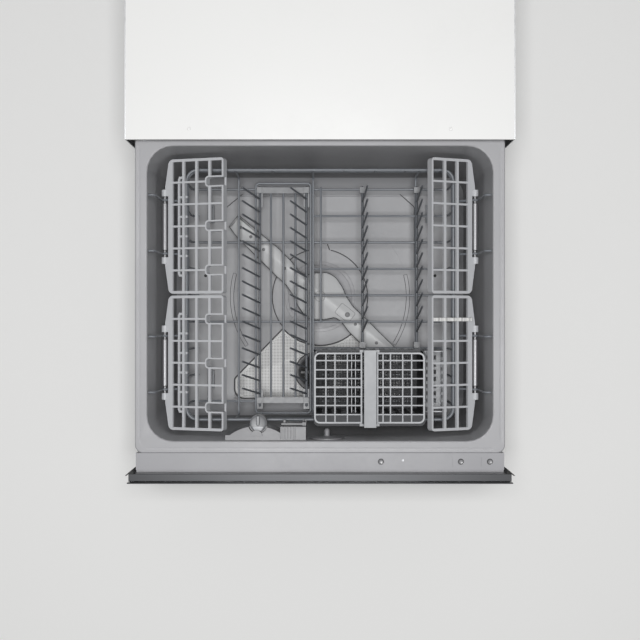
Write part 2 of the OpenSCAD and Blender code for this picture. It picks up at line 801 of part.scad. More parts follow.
module dispenser_body() {
    color("lightgray") {
        difference() {
            union() {
                box(disp_x0, disp_x1, cavity_y0 - 14, disp_face + 2, disp_z0, disp_z1);
                // round cover
                intersection() {
                    translate([dome_x, cavity_y0 + dome_out - dome_r, disp_z0])
                        cylinder(h = disp_z1 - disp_z0, r = dome_r, $fn = 96);
                    box(disp_x0, block_x0 + 16, cavity_y0 - 14, cavity_y0 + 60, disp_z0, disp_z1);
                }
                // boss under the rinse-aid cap
                translate([cap_x, cap_y, cap_z - 26]) cylinder(h = 26, r = cap_r + 0.5, $fn = 48);
                // block with the flap's seat
                box(block_x0, disp_x1, cavity_y0 - 14, flap_y - 1.8, disp_z0, disp_z1);
                box(block_x0, disp_x1, cavity_y0 + 2, flap_y - 1.8, disp_z1 - 1, disp_z1 + block_rise);
                // ears of the flap
                for (z = [flap_z0 - 4.3, flap_z1 + 0.3])
                    box(flap_x - 3, flap_x + 3, flap_y - 2, flap_y + 3.2, z, z + 4);
            }
            // room for the cap to turn
            translate([cap_x, cap_y, cap_z]) cylinder(h = 60, r = cap_r + 2.2, $fn = 48);
            // detergent cup
            box(flap_x - flap_w + 4, flap_x - 6, cavity_y0 - 6, flap_y, flap_z0 + 4, flap_z1 - 4);
            // ribs on the block's top
            for (i = [0:3]) translate([block_x0 + 1 + i * rib_pitch, 0, 0])
                box(0, rib_pitch / 2, cavity_y0 + 2, flap_y, disp_z1, disp_z1 + 6);
            box(block_x0 + 21, block_x0 + 24, cavity_y0, flap_y, disp_z1 - 2, disp_z1 + 6);
            for (z = [flap_z0 - 5, flap_z1 - 1]) translate([flap_x, flap_y + 0.6, z])
                cylinder(h = 6, r = 1.2 + turn_fit, $fn = 24);
        }
        // neck of the rinse-aid cap
        translate([cap_x, cap_y, cap_z - 1]) cylinder(h = 5, r = 8, $fn = 32);
        // half-round tab over the cap's edge
        intersection() {
            translate([dome_x, cavity_y0 + 7, disp_z1 - 1]) cylinder(h = 4, r = 9, $fn = 32);
            box(dome_x - 10, dome_x + 10, cavity_y0 + 7, cavity_y0 + 20, disp_z1 - 1, disp_z1 + 4);
        }
    }
}

module dispenser_flap() {
    color("lightgray") {
        box(flap_x - flap_w, flap_x, flap_y - 1.2, flap_y + 1.4, flap_z0, flap_z1);
        translate([flap_x, flap_y + 0.6, flap_z0]) cylinder(h = flap_z1 - flap_z0, r = 2, $fn = 24);
        translate([flap_x, flap_y + 0.6, flap_z0 - 3.5])
            cylinder(h = flap_z1 - flap_z0 + 7, r = 1.2, $fn = 24);
        box(flap_x - flap_w + 3, flap_x - flap_w + 6, flap_y + 1, flap_y + 5,
            flap_z0 + 16, flap_z1 - 16);
    }
}

module rinse_cap() {
    color("gray") translate([cap_x, cap_y, cap_z + 0.3]) difference() {
        union() {
            cylinder(h = 7, r = cap_r, $fn = 48);
            box(-2.7, 2.7, -cap_r + 1, cap_r + 1, 5, 14);
        }
        translate([0, 0, -1]) cylinder(h = 5.2, r = 8 + turn_fit, $fn = 32);
    }
}

// low round cap with a peg, snapped into the front wall
module vent_cap() {
    dome_r = (vent_r * vent_r + vent_dome * vent_dome) / (2 * vent_dome);
    color("lightgray") translate([vent_x, cavity_y0, vent_z]) rotate([-90, 0, 0]) {
        translate([0, 0, -2 * wall_t]) cylinder(h = 2 * wall_t + vent_out, r = vent_plug_r, $fn = 64);
        intersection() {
            translate([0, 0, vent_out + vent_dome - dome_r]) sphere(r = dome_r, $fn = 96);
            translate([0, 0, vent_out]) cylinder(h = vent_dome + 1, r = vent_r - 1.5, $fn = 64);
        }
        translate([0, 0, vent_out]) cylinder(h = peg_out - peg_r - vent_out, r = peg_r, $fn = 40);
        translate([0, 0, peg_out - peg_r]) sphere(r = peg_r, $fn = 40);
    }
}

// ---------- wire basket ----------

// which cross wires run over the left half as well
function full_cross(i) = (i + cross_half) % 3 == 0 || i == cross_half;

module basket_floor() {
    color("slategray") {
        for (i = [-cross_half:cross_half]) let (y = cross_y[i + cross_half])
            wire([full_cross(i) ? -basket_hw + bend_r + stub : -14, y, basket_z],
                 [basket_hw - bend_r - stub, y, basket_z], wire_r);
        for (x = long_x)
            wire([x, cavity_y - basket_hd + bend_r + stub, long_z],
                 [x, cavity_y + basket_hd - bend_r - stub, long_z], wire_r);
        for (x = [row_far_left + 18.6, row_far_left + 39.8, row_far_left + 60.3])
            wire([x, cross_y[0] - weld, long_z],
                 [x, cross_y[2 * cross_half] + weld, long_z], wire_r);
        wire([1.4, cavity_y - 46, long_z], [1.4, cross_y[2 * cross_half] + weld, long_z], wire_r);
        tine_frame(row_far_left - frame_side, row_mid_left + frame_side);
    }
}

// closed wire loop round the two left tine rows, welded on the cross wires
module tine_frame(x0, x1) {
    for (x = [x0, x1]) wire([x, frame_y0 + frame_r, long_z], [x, frame_y1 - frame_r, long_z], wire_r);
    for (y = [frame_y0, frame_y1]) wire([x0 + frame_r, y, long_z], [x1 - frame_r, y, long_z], wire_r);
    for (c = [[x0 + frame_r, frame_y0 + frame_r, 180], [x1 - frame_r, frame_y0 + frame_r, 270],
              [x1 - frame_r, frame_y1 - frame_r, 0], [x0 + frame_r, frame_y1 - frame_r, 90]])
        bend([c.x, c.y, long_z], [0, 0, c.z], frame_r, wire_r);
}

// wire feet: two legs in a plastic shoe, tied under the cross wires
module basket_feet() {
    top_z = basket_z - 2 * wire_r - 0.1;
    color("slategray") for (sx = [-1, 1], sy = [-1, 1])
        translate([sx * foot_x, cavity_y + sy * foot_y, 0]) {
            for (s = [-1, 1]) wire([0, s * foot_half, floor_z + 4], [0, s * foot_half, top_z], foot_r);
            box(-shoe_half, shoe_half, -foot_half - shoe_half, foot_half + shoe_half,
                floor_z + 0.1, floor_z + 9);
            wire([0, -foot_tie, top_z], [0, foot_tie, top_z], wire_r);
        }
}

module basket_side() {
    x = basket_hw;
    color("slategray") {
        wire([x, cavity_y - basket_hd + rail_bend, rail_z],
             [x, cavity_y + basket_hd - rail_bend, rail_z], rail_r);
        wire([x, cavity_y - basket_hd + rail_bend, mid_wire_z],
             [x, cavity_y + basket_hd - rail_bend, mid_wire_z], wire_r);
        for (y = cross_y) {
            wire([x - 0.3, y, basket_z + bend_r], [x - 0.3, y, rail_z], wire_r);
            bend([x - 0.3 - bend_r, y, basket_z + bend_r], [-90, 0, 0], bend_r, wire_r);
            wire([x - 0.3 - bend_r - stub + 0.3, y, basket_z], [x - 0.3 - bend_r, y, basket_z], wire_r);
        }
    }
}

module basket_end() {
    y = cavity_y + basket_hd;
    color("slategray") {
        wire([-basket_hw + rail_bend, y, rail_z], [basket_hw - rail_bend, y, rail_z], rail_r);
        for (sx = [-1, 1])
            bend([sx * (basket_hw - rail_bend), y - rail_bend, rail_z], [0, 0, sx > 0 ? 0 : 90],
                 rail_bend, rail_r);
        wire([-basket_hw + 14, y, mid_wire_z], [basket_hw - 14, y, mid_wire_z], wire_r);
        for (x = long_x) {
            wire([x, y - 0.3, long_z + bend_r], [x, y - 0.3, rail_z], wire_r);
            bend([x, y - 0.3 - bend_r, long_z + bend_r], [0, 90, 0], bend_r, wire_r);
            wire([x, y - 0.3 - bend_r - stub + 0.3, long_z], [x, y - 0.3 - bend_r, long_z], wire_r);
        }
        // short uprights between rail and mid wire
        for (x = [-basket_hw + 40, -basket_hw + 140, 40, 90, 140, basket_hw - 20])
            wire([x, y, mid_wire_z], [x, y, rail_z], wire_r);
    }
}

// one hanger: stub at the tub wall, upright, eye round the axle, leg to the basket's mid wire
module hanger(y) {
    wall_x = cav_hw(rim_z - 8) - loose;
    up_x = axle_x + ring_r + 0.3;
    top_z = rim_z - 8;
    drop = [basket_hw - axle_x, mid_wire_z - axle_z];
    reach = norm(drop) - wire_r - 0.15;
    dir = drop / norm(drop);
    wire([up_x + 5, y, top_z], [wall_x, y, top_z], hang_r);
    bend([up_x + 5, y, top_z - 5], [90, 0, 90 + 90], 5, hang_r);
    wire([up_x, y, axle_z - 1], [up_x, y, top_z - 5], hang_r);
    // eye round the axle
    translate([axle_x, y, axle_z]) rotate([90, 0, 0]) difference() {
        cylinder(h = eye_w, r = ring_r + hang_r, center = true, $fn = 40);
        cylinder(h = eye_w + 2, r = axle_r + loose, center = true, $fn = 32);
    }
    // leg, coped where it meets an upright wire of the basket side
    difference() {
        wire([axle_x + dir.x * ring_r, y, axle_z + dir.y * ring_r],
             [axle_x + dir.x * reach, y, axle_z + dir.y * reach], hang_r);
        for (c = cross_y) if (abs(c - y) < 2 * wire_r + hang_r)
            wire([basket_hw - 0.3, c, basket_z], [basket_hw - 0.3, c, rail_z], wire_r + 0.1);
    }
}

module hangers() {
    color("slategray") for (sy = [-1, 1], h = [-1, 1])
        hanger(cavity_y + sy * rack_c + h * hook_at);
}

module rack_axles() {
    color("silver") for (sx = [-1, 1], sy = [-1, 1])
        translate([sx * axle_x, cavity_y + sy * rack_c, axle_z]) rotate([90, 0, 0]) {
            cylinder(h = 2 * (knuckle_at + knuckle_w + 1), r = axle_r, center = true, $fn = 32);
            cylinder(h = 2 * sleeve_half, r = sleeve_r, center = true, $fn = 40);
        }
}

// ---------- tine rows ----------

module rod_clip(x, y0) {
    difference() {
        box(x - clip_half, x + clip_half, y0, y0 + clip_len, clip_z, rod_z + rod_r + 2.5);
        translate([x, y0 - 1, rod_z]) rotate([-90, 0, 0])
            cylinder(h = clip_len + 2, r = rod_r + turn_fit, $fn = 32);
        // snap mouth
        box(x + 3.2, x + clip_half + 1, y0 - 1, y0 + clip_len + 1, rod_z + 2.4, rod_z + 8);
    }
}

// two clips on long feet, joined by a flat bar that passes over the floor wires
module tine_bracket(y0, foot_y0) {
    bar_z = long_z + wire_r + 0.1;
    for (x = [row_far_left, row_mid_left]) {
        rod_clip(x, y0);
        box(x - clip_half, x + clip_half, foot_y0, foot_y0 + bracket_len, clip_z, bracket_top);
    }
    box(row_far_left, row_mid_left, y0, y0 + clip_len, bar_z, bracket_top + 1);
}

module tine_clips() {
    color("gray") difference() {
        union() {
            difference() {
                union() {
                    tine_bracket(row_back - clip_back, row_back - bracket_len - 2);
                    tine_bracket(row_front - clip_back + 4, row_front - clip_back - bracket_past);
                }
                for (x = [row_far_left, row_mid_left])
                    wire([x, row_front - 3 * clip_back, rod_z], [x, row_back + 1, rod_z], rod_r + turn_fit);
            }
            for (x = [row_mid_right, row_far_right]) {
                rod_clip(x, row_back - clip_back);
                rod_clip(x, cutlery_y1 + 1.2);
            }
        }
        // groove for the long wire beside the far right row
        wire([long_x[2], cavity_y - basket_hd, long_z], [long_x[2], cavity_y + basket_hd, long_z],
             wire_r + 0.1);
    }
}

// rod along Y with leaning tines; lean_x and lean_y shift the tips
module tine_row(x, y0, y1, lean_x, lean_y) {
    n = floor((y1 - y0 - 34) / tine_pitch);
    start = (y0 + y1) / 2 - n * tine_pitch / 2;
    up = sqrt(tine_len * tine_len - lean_x * lean_x - lean_y * lean_y);
    color("slategray") {
        wire([x, y0, rod_z], [x, y1, rod_z], rod_r);
        for (i = [0:n]) wire([x, start + i * tine_pitch, rod_z],
            [x + lean_x, start + i * tine_pitch + lean_y, rod_z + up], tine_r);
    }
}

// ---------- cup racks ----------

// places a rack that is drawn flat with its axle on the Y axis and its bars towards +X
module at_axle(right, sy, tilt) {
    mirror([right ? 1 : 0, 0, 0]) translate([-axle_x, cavity_y + sy * rack_c, axle_z])
        rotate([0, -tilt, 0]) children();
}

// outline of a rack: wide corners beside the axle, small ones at the inner edge
module rack_outline(reach) {
    half = rack_len / 2;
    translate([rack_in + rack_corner, -half])
        square([reach - rack_in - rack_corner - rim_corner, rack_len]);
    translate([rack_in, -half + rack_corner]) square([rack_corner + 1, rack_len - 2 * rack_corner]);
    translate([reach - rim_corner - 1, -half + rim_corner])
        square([rim_corner + 1, rack_len - 2 * rim_corner]);
    for (s = [-1, 1]) {
        translate([rack_in + rack_corner, s * (half - rack_corner)]) circle(rack_corner, $fn = 32);
        translate([reach - rim_corner, s * (half - rim_corner)]) circle(rim_corner, $fn = 32);
    }
}

// socket for a glass's stem, open towards the inner edge, on every second bar
module sockets(reach, grow, out) {
    w = socket_w + 2 * grow;
    r = socket_r + grow;
    x0 = reach - socket_len - grow;
    pitch = (rack_len - end_bar) / (rack_bars - 1);
    for (k = [-2, 0, 2]) translate([x0, k * pitch]) {
        translate([r, -w / 2]) square([socket_len + grow - r + out, w]);
        translate([0, -w / 2 + r]) square([r + 1, w - 2 * r]);
        for (s = [-1, 1]) translate([r, s * (w / 2 - r)]) circle(r, $fn = 32);
    }
}

module cup_rack(reach, long_bars, notched) {
    half = rack_len / 2;
    pitch = (rack_len - end_bar) / (rack_bars - 1);
    first_bar = rack_in + rack_edge / 2;
    bar_gap = (reach - rack_rim / 2 - first_bar) / (long_bars + 1);
    color("lightgray") difference() {
        union() {
            // flat grid
            translate([0, 0, -rack_t / 2]) linear_extrude(rack_t) difference() {
                intersection() {
                    union() {
                        translate([rack_in, -half]) square([rack_edge, rack_len]);
                        for (s = [0, 1]) mirror([0, s]) translate([rack_in, half - end_bar])
                            square([reach - rack_in, end_bar]);
                        for (i = [1:rack_bars - 2])
                            translate([rack_in, -half + (end_bar - cross_bar) / 2 + i * pitch])
                                square([reach - rack_in, cross_bar]);
                        for (k = [1:long_bars]) translate([first_bar + k * bar_gap - long_bar / 2, -half])
                            square([long_bar, rack_len]);
                    }
                    rack_outline(reach);
                }
                if (notched) sockets(reach, 0, 5);
            }
            // deep strip along the inner edge and the walls of the sockets
            translate([0, 0, -rack_t / 2 - rack_deep]) linear_extrude(rack_t + rack_deep) difference() {
                union() {
                    intersection() {
                        translate([reach - rack_rim, -half]) square([rack_rim, rack_len]);
                        rack_outline(reach);
                    }
                    if (notched) sockets(reach, socket_t, 0);
                }
                if (notched) sockets(reach, 0, 5);
            }
            if (notched) translate([reach - rack_rim, -half + rim_corner, -rack_t / 2 - rack_deep])
                cube([rack_rim, rack_len - 2 * rim_corner, lip_h]);
            // skirt between the knuckle and the outer corner
            translate([0, 0, -rack_t / 2]) linear_extrude(rack_t) for (s = [0, 1]) mirror([0, s])
                polygon([[rack_in + 1, knuckle_at + 1], [rack_in + 1, half - rack_corner],
                         [rack_in, half - rack_corner], [1.5, knuckle_at + knuckle_w + 4],
                         [1.5, knuckle_at + 1]]);
            for (s = [-1, 1]) translate([0, s * (knuckle_at + knuckle_w / 2), 0])
                rotate([90, 0, 0]) {
                    cylinder(h = knuckle_w, r = knuckle_r, center = true, $fn = 40);
                    translate([rack_in / 2, 0, 0])
                        cube([rack_in + 1, rack_t, knuckle_w], center = true);
                }
        }
        rotate([90, 0, 0]) cylinder(h = rack_len, r = axle_r + turn_fit, center = true, $fn = 32);
    }
}

// narrow ladder clipped under a left rack
module rack_step() {
    pitch = (step_len - step_bar) / (step_rungs - 1);
    color("lightgray") translate([step_x, 0, -rack_t / 2 - step_t]) linear_extrude(step_t) {
        translate([step_w / 2, 0]) difference() {
            round_rect(step_w, step_len, 6);
            round_rect(step_w - 2 * step_bar, step_len - 2 * step_bar, 3);
        }
        for (i = [0:step_rungs - 1]) translate([step_bar / 2, -step_len / 2 + i * pitch])
            square([step_w + (i == 0 || i == step_rungs - 1 ? -6 : 1), step_bar]);
    }
}

module utensil_comb() {
    color("white") at_axle(true, -1, tilt_right)
        translate([0, 70, rack_t / 2]) {
            box(rack_in + 2, rack_reach_right - 2, -3, 3, 0, 2.5);
            for (i = [0:4]) box(rack_in + 6 + i * 14.5, rack_in + 9 + i * 14.5, -3, 3, 2, 10);
        }
}

// ---------- cutlery ----------

module slots(w, h, nx, ny, bar) {
    for (i = [0:nx - 1], j = [0:ny - 1])
        translate([bar + i * (w - bar) / nx, bar + j * (h - bar) / ny])
            square([(w - bar) / nx - bar, (h - bar) / ny - bar]);
}

module cutlery_basket() {
    w = cutlery_w;
    d = cutlery_d;
    t = cutlery_t;
    color("lightgray") difference() {
        union() {
            box(cutlery_x0, cutlery_x1, cutlery_y0, cutlery_y1, cutlery_z0, cutlery_z1);
            box(cutlery_x0 - 1, cutlery_x1 + 1.5, flange_y0, cutlery_y1 + 1,
                cutlery_z1 - 3, cutlery_z1);
        }
        // compartments on both sides of the middle wall
        box(cutlery_x0 + t, handle_x - 3, cutlery_y0 + t, cutlery_y1 - t, cutlery_z0 + t, cutlery_z1 + 1);
        box(handle_x + 3, cutlery_x1 - t, cutlery_y0 + t, cutlery_y1 - t, cutlery_z0 + t, cutlery_z1 + 1);
        // floor holes
        translate([cutlery_x0 + 6, cutlery_y0 + 6, cutlery_z0 - 1]) linear_extrude(t + 2)
            slots(w - 12, d - 12, 8, 4, 5);
        // slotted front and back
        translate([cutlery_x0 + 6, cutlery_y1 + 2, cutlery_z0 + 10]) rotate([90, 0, 0])
            linear_extrude(d + 4) slots(w - 12, cutlery_h - 20, 10, 2, 6);
    }
}

module cutlery_handle() {
    y1 = cutlery_y1 + 0.6;
    y0 = flange_y0;
    z0 = cutlery_z1;
    color("gainsboro") difference() {
        union() {
            box(handle_x - handle_w / 2, handle_x + handle_w / 2, y0, y1, z0, z0 + handle_rise);
            for (y = [y0, y1 - ear_t])
                box(handle_x - lid_pin_x - 3, handle_x + lid_pin_x + 3, y, y + ear_t, z0, z0 + 5);
        }
        // open space for the hand, with round corners
        translate([handle_x, (y0 + y1) / 2, z0 + handle_rise / 2 - 2.2]) rotate([90, 0, 90])
            linear_extrude(handle_w + 2, center = true)
                round_rect(y1 - y0 - 2 * ear_t, handle_rise - 3.6, 8);
        box(handle_x - handle_w, handle_x + handle_w, y0 + ear_t, y1 - ear_t, z0 - 1, z0 + 10);
        for (s = [-1, 1]) translate([handle_x + s * lid_pin_x, y0 - 1, lid_axis_z])
            rotate([-90, 0, 0]) cylinder(h = y1 - y0 + 2, r = 1.2 + turn_fit, $fn = 24);
    }
}

// lid grid drawn for the left half; its axis is on X = 0 of the handle's left pins
module cutlery_lid(len_x, cols) {
    y0 = flange_y0 + ear_t + loose;
    y1 = cutlery_y1 + 0.6 - ear_t - loose;
    color("gainsboro") {
        translate([-len_x, y0, -lid_grid_t / 2]) linear_extrude(lid_grid_t) difference() {
            square([len_x, y1 - y0]);
            slots(len_x - 2, y1 - y0, cols, 8, 2.6);
        }
        translate([0, y0, 0]) rotate([-90, 0, 0]) cylinder(h = y1 - y0, r = lid_grid_t / 2, $fn = 32);
        translate([0, y0 - ear_t + 0.5, 0]) rotate([-90, 0, 0])
            cylinder(h = y1 - y0 + 2 * ear_t - 1, r = 1.2, $fn = 24);
    }
}

module cutlery_caddy() {
    x0 = cutlery_x1 + 3.5;
    x1 = basket_hw - 10;
    y1 = cutlery_y1 - 2;
    y0 = cutlery_y0 + 2;
    z0 = basket_z + wire_r + 0.1;
    z1 = rail_z - 6;
    t = 2;
    color("lightgray") difference() {
        box(x0, x1, y0, y1, z0, z1);
        box(x0 + t, x1 - t, y0 + t, y1 - t, z0 + t, z1 + 1);
        translate([x0 - 1, y0 + 6, z0 + 10]) rotate([90, 0, 90])
            linear_extrude(x1 - x0 + 2) slots(y1 - y0 - 12, z1 - z0 - 18, 7, 1, 6);
        translate([x0 + 5, y0 + 5, z0 - 1]) linear_extrude(t + 2)
            slots(x1 - x0 - 10, y1 - y0 - 10, 2, 7, 5);
    }
}

// ---------- the assembly ----------

housing_base();
mirror([1, 0, 0]) housing_side();  // housing_side_left
housing_side();  // housing_side_right
housing_back();
housing_top();
mirror([1, 0, 0]) runner_outer();  // runner_outer_left
runner_outer();  // runner_outer_right
lid_guides();
lid_drives();
inlet_valve();
lid_panel();
lid_seal();
translate([0, -open_travel / 2, 0]) mirror([1, 0, 0]) runner_middle_closed();  // runner_middle_left
translate([0, -open_travel / 2, 0]) runner_middle_closed();  // runner_middle_right
drawer() tub();
drawer() mirror([1, 0, 0]) runner_inner();  // runner_inner_left
drawer() runner_inner();  // runner_inner_right
drawer() control_strip();
drawer() indicator_lens();
drawer() drawer_front();
drawer() front_gasket();
drawer() sump();
drawer() wash_motor();
drawer() drain_pump();
drawer() filter_plate();
drawer() drain_filter();
drawer() dispenser_body();
drawer() vent_cap();
drawer() dispenser_flap();
drawer() rinse_cap();
drawer() spray_arm();
drawer() button(0);  // power_button
drawer() button(1);  // select_button
drawer() button(2);  // start_button
drawer() basket_floor();
drawer() basket_feet();
drawer() mirror([1, 0, 0]) basket_side();  // basket_side_left
drawer() basket_side();  // basket_side_right
drawer() basket_end();  // basket_back
drawer() translate([0, 2 * cavity_y, 0]) mirror([0, 1, 0]) basket_end();  // basket_front
drawer() mirror([1, 0, 0]) hangers();  // hangers_left
drawer() hangers();  // hangers_right
drawer() rack_axles();
drawer() tine_clips();
drawer() tine_row(row_far_left, row_front - 14, row_back, -26, 13);  // tine_row_far_left
drawer() tine_row(row_mid_left, row_front - 14, row_back, -26, 13);  // tine_row_mid_left
drawer() tine_row(row_mid_right, cutlery_y1 + 2, row_back, 6, 20);  // tine_row_mid_right
drawer() tine_row(row_far_right, cutlery_y1 + 2, row_back, 4, 20);  // tine_row_far_right
drawer() at_axle(false, 1, tilt_left) cup_rack(rack_reach_left, 3, true);  // cup_rack_left_back
drawer() at_axle(false, 1, tilt_left) rack_step();  // rack_step_left_back
drawer() at_axle(false, -1, tilt_left) cup_rack(rack_reach_left, 3, true);  // cup_rack_left_front
drawer() at_axle(false, -1, tilt_left) rack_step();  // rack_step_left_front
drawer() at_axle(true, 1, tilt_right) cup_rack(rack_reach_right, 2, false);  // cup_rack_right_back
drawer() at_axle(true, -1, tilt_right) cup_rack(rack_reach_right, 2, false);  // cup_rack_right_front
drawer() utensil_comb();
drawer() cutlery_basket();
drawer() cutlery_caddy();
drawer() cutlery_handle();
drawer() translate([handle_x - lid_pin_x, 0, lid_axis_z])  // cutlery_lid_left
        cutlery_lid(handle_x - lid_pin_x - cutlery_x0 - 1, 6);
drawer() translate([handle_x + lid_pin_x, 0, lid_axis_z]) mirror([1, 0, 0])  // cutlery_lid_right
        cutlery_lid(cutlery_x1 - handle_x - lid_pin_x - 1, 6);
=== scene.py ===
import json
import math

import bmesh
import bpy
from mathutils import Matrix, Vector


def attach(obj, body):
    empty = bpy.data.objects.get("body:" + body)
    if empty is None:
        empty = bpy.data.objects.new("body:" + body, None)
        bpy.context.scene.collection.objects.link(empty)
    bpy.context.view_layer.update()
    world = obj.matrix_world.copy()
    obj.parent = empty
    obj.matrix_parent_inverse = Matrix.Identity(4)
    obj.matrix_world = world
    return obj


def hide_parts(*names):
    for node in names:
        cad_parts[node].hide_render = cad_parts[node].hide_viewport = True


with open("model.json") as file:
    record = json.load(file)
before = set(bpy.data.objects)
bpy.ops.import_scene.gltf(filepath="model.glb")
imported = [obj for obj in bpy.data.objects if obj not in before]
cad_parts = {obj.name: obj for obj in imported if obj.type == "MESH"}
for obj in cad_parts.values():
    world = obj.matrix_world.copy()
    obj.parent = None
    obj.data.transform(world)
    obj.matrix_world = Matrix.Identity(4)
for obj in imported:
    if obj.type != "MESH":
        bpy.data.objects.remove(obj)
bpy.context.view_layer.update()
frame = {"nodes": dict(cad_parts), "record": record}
nodes = frame["nodes"]
slotOf = {row["node"]: row["material_slot"] for row in frame["record"]["subparts"]}
bodies = frame["record"]["behaviour"]["bodies"]
bodyOf = {node: body for body, members in bodies.items() for node in members}
mm = 0.001
print("frame loaded:", len(nodes), "nodes")


def newObject(name, data):
    made = bpy.data.objects.new(name, data)
    bpy.context.scene.collection.objects.link(made)
    return made


# camera straight above the open drawer, soft box overhead, plain pale floor
view = {"height": 2.365, "lens": 72.0, "sensor": 36.0, "y": -0.551}
lamps = {"top": 72.0, "topSize": 0.8, "topHeight": 3.4, "topY": -0.56, "aimY": -0.55, "world": 0.17}
ground = {"half": 9.0, "drop": 0.0005, "colour": (0.93, 0.93, 0.92), "glow": 0.03}

cameraData = bpy.data.cameras.new("topCamera")
cameraData.lens = view["lens"]
cameraData.sensor_width = view["sensor"]
camera = newObject("topCamera", cameraData)
camera.location = (0, view["y"], view["height"])
bpy.context.scene.camera = camera
bpy.context.scene.view_settings.view_transform = "Standard"

floorMesh = bpy.data.meshes.new("paleFloor")
bm = bmesh.new()
bmesh.ops.create_grid(bm, x_segments=2, y_segments=2, size=ground["half"])
bm.to_mesh(floorMesh)
bm.free()
floorObject = newObject("paleFloor", floorMesh)
floorObject.location = (0, 0, -ground["drop"])

lampData = bpy.data.lights.new("topSoftbox", "AREA")
lampData.energy = lamps["top"]
lampData.size = lamps["topSize"]
lamp = newObject("topSoftbox", lampData)
lampPlace = Vector((0, lamps["topY"], lamps["topHeight"]))
lamp.location = lampPlace
lamp.rotation_euler = (Vector((0, lamps["aimY"], 0)) - lampPlace).to_track_quat("-Z", "Y").to_euler()
world = bpy.data.worlds.new("studio")
bpy.context.scene.world = world
world.use_nodes = True
backdrop = world.node_tree.nodes["Background"]
backdrop.inputs["Color"].default_value = (1, 1, 1, 1)
backdrop.inputs["Strength"].default_value = lamps["world"]
print("camera, floor and lamp placed")


def shaderGroup(name, inputs, outputs):
    group = bpy.data.node_groups.new(name, "ShaderNodeTree")
    for label, kind, value in inputs:
        socket = group.interface.new_socket(label, in_out="INPUT", socket_type=kind)
        socket.default_value = value
    for label, kind in outputs:
        group.interface.new_socket(label, in_out="OUTPUT", socket_type=kind)
    return group, group.nodes.new("NodeGroupInput"), group.nodes.new("NodeGroupOutput")


def addNode(tree, kind, links=(), **values):
    node = tree.nodes.new(kind)
    for key, value in values.items():
        if hasattr(node, key):
            setattr(node, key, value)
        else:
            node.inputs[key].default_value = value
    for source, target in links:
        tree.links.new(source, node.inputs[target])
    return node


# a value given to a node is either another node's output or a plain number or colour
def feed(tree, node, values):
    for index, value in values:
        if hasattr(value, "links"):
            tree.links.new(value, node.inputs[index])
        else:
            node.inputs[index].default_value = value


def objectPlace(tree):
    return addNode(tree, "ShaderNodeTexCoord").outputs["Object"]


def objectNoise(tree, scaleSocket=None, scale=10.0, detail=2.0):
    noise = addNode(tree, "ShaderNodeTexNoise", [(objectPlace(tree), "Vector")], Scale=scale, Detail=detail)
    if scaleSocket:
        tree.links.new(scaleSocket, noise.inputs["Scale"])
    return noise.outputs[0]


def remap(tree, source, low, high, outLow, outHigh):
    node = addNode(tree, "ShaderNodeMapRange")
    feed(tree, node, enumerate((source, low, high, outLow, outHigh)))
    return node.outputs[0]


def mathNode(tree, operation, first, second):
    node = addNode(tree, "ShaderNodeMath", operation=operation)
    feed(tree, node, enumerate((first, second)))
    return node.outputs[0]


# sockets 6 and 7 of the Mix node are its two colours, output 2 is the mixed one
def mixColour(tree, factor, first, second):
    node = addNode(tree, "ShaderNodeMix", data_type="RGBA")
    feed(tree, node, ((0, factor), (6, first), (7, second)))
    return node.outputs[2]


def scaleColour(tree, colour, factor):
    node = addNode(tree, "ShaderNodeVectorMath", [(colour, 0)], operation="SCALE")
    tree.links.new(factor, node.inputs["Scale"])
    return node.outputs[0]


def mixPatterns(tree, first, firstShare, second, secondShare):
    return mathNode(tree, "ADD", mathNode(tree, "MULTIPLY", first, firstShare),
                    mathNode(tree, "MULTIPLY", second, secondShare))


# the pattern lightens and darkens the tone by the spread and moves the gloss between its two values
def finishSurface(group, start, end, pattern, height):
    swing = mathNode(group, "MULTIPLY", mathNode(group, "SUBTRACT", pattern, 0.5), start.outputs["Spread"])
    tinted = scaleColour(group, start.outputs["Tone"], mathNode(group, "ADD", 1.0, swing))
    gloss = remap(group, pattern, 0.35, 0.65, start.outputs["Gloss Low"], start.outputs["Gloss High"])
    for source, target in ((tinted, "Color"), (gloss, "Roughness"), (height, "Height")):
        group.links.new(source, end.inputs[target])


surfaceOutputs = [("Color", "NodeSocketColor"), ("Roughness", "NodeSocketFloat"),
                  ("Height", "NodeSocketFloat")]


def buildMouldedGroup():
    group, start, end = shaderGroup(
        "mouldedPlastic",
        [("Tone", "NodeSocketColor", (0.5, 0.5, 0.5, 1)), ("Spread", "NodeSocketFloat", 0.06),
         ("Grain Scale", "NodeSocketFloat", 900.0), ("Gloss Low", "NodeSocketFloat", 0.34),
         ("Gloss High", "NodeSocketFloat", 0.5)],
        surfaceOutputs)
    cloud = objectNoise(group, scale=7.0, detail=3.0)
    fleck = objectNoise(group, scale=160.0, detail=2.0)
    grain = objectNoise(group, start.outputs["Grain Scale"], detail=1.0)
    finishSurface(group, start, end, mixPatterns(group, cloud, 0.7, fleck, 0.3), grain)
    return group


def buildBrushedGroup():
    group, start, end = shaderGroup(
        "brushedMetal",
        [("Tone", "NodeSocketColor", (0.6, 0.6, 0.6, 1)), ("Spread", "NodeSocketFloat", 0.12),
         ("Stretch", "NodeSocketVector", (8.0, 900.0, 900.0)), ("Gloss Low", "NodeSocketFloat", 0.22),
         ("Gloss High", "NodeSocketFloat", 0.38)],
        surfaceOutputs)
    place = addNode(group, "ShaderNodeMapping", [(objectPlace(group), "Vector"),
                                                (start.outputs["Stretch"], "Scale")]).outputs[0]
    lines = addNode(group, "ShaderNodeTexNoise", [(place, "Vector")], Scale=1.0, Detail=3.0).outputs[0]
    cloud = objectNoise(group, scale=5.0, detail=2.0)
    finishSurface(group, start, end, mixPatterns(group, lines, 0.65, cloud, 0.35), lines)
    return group


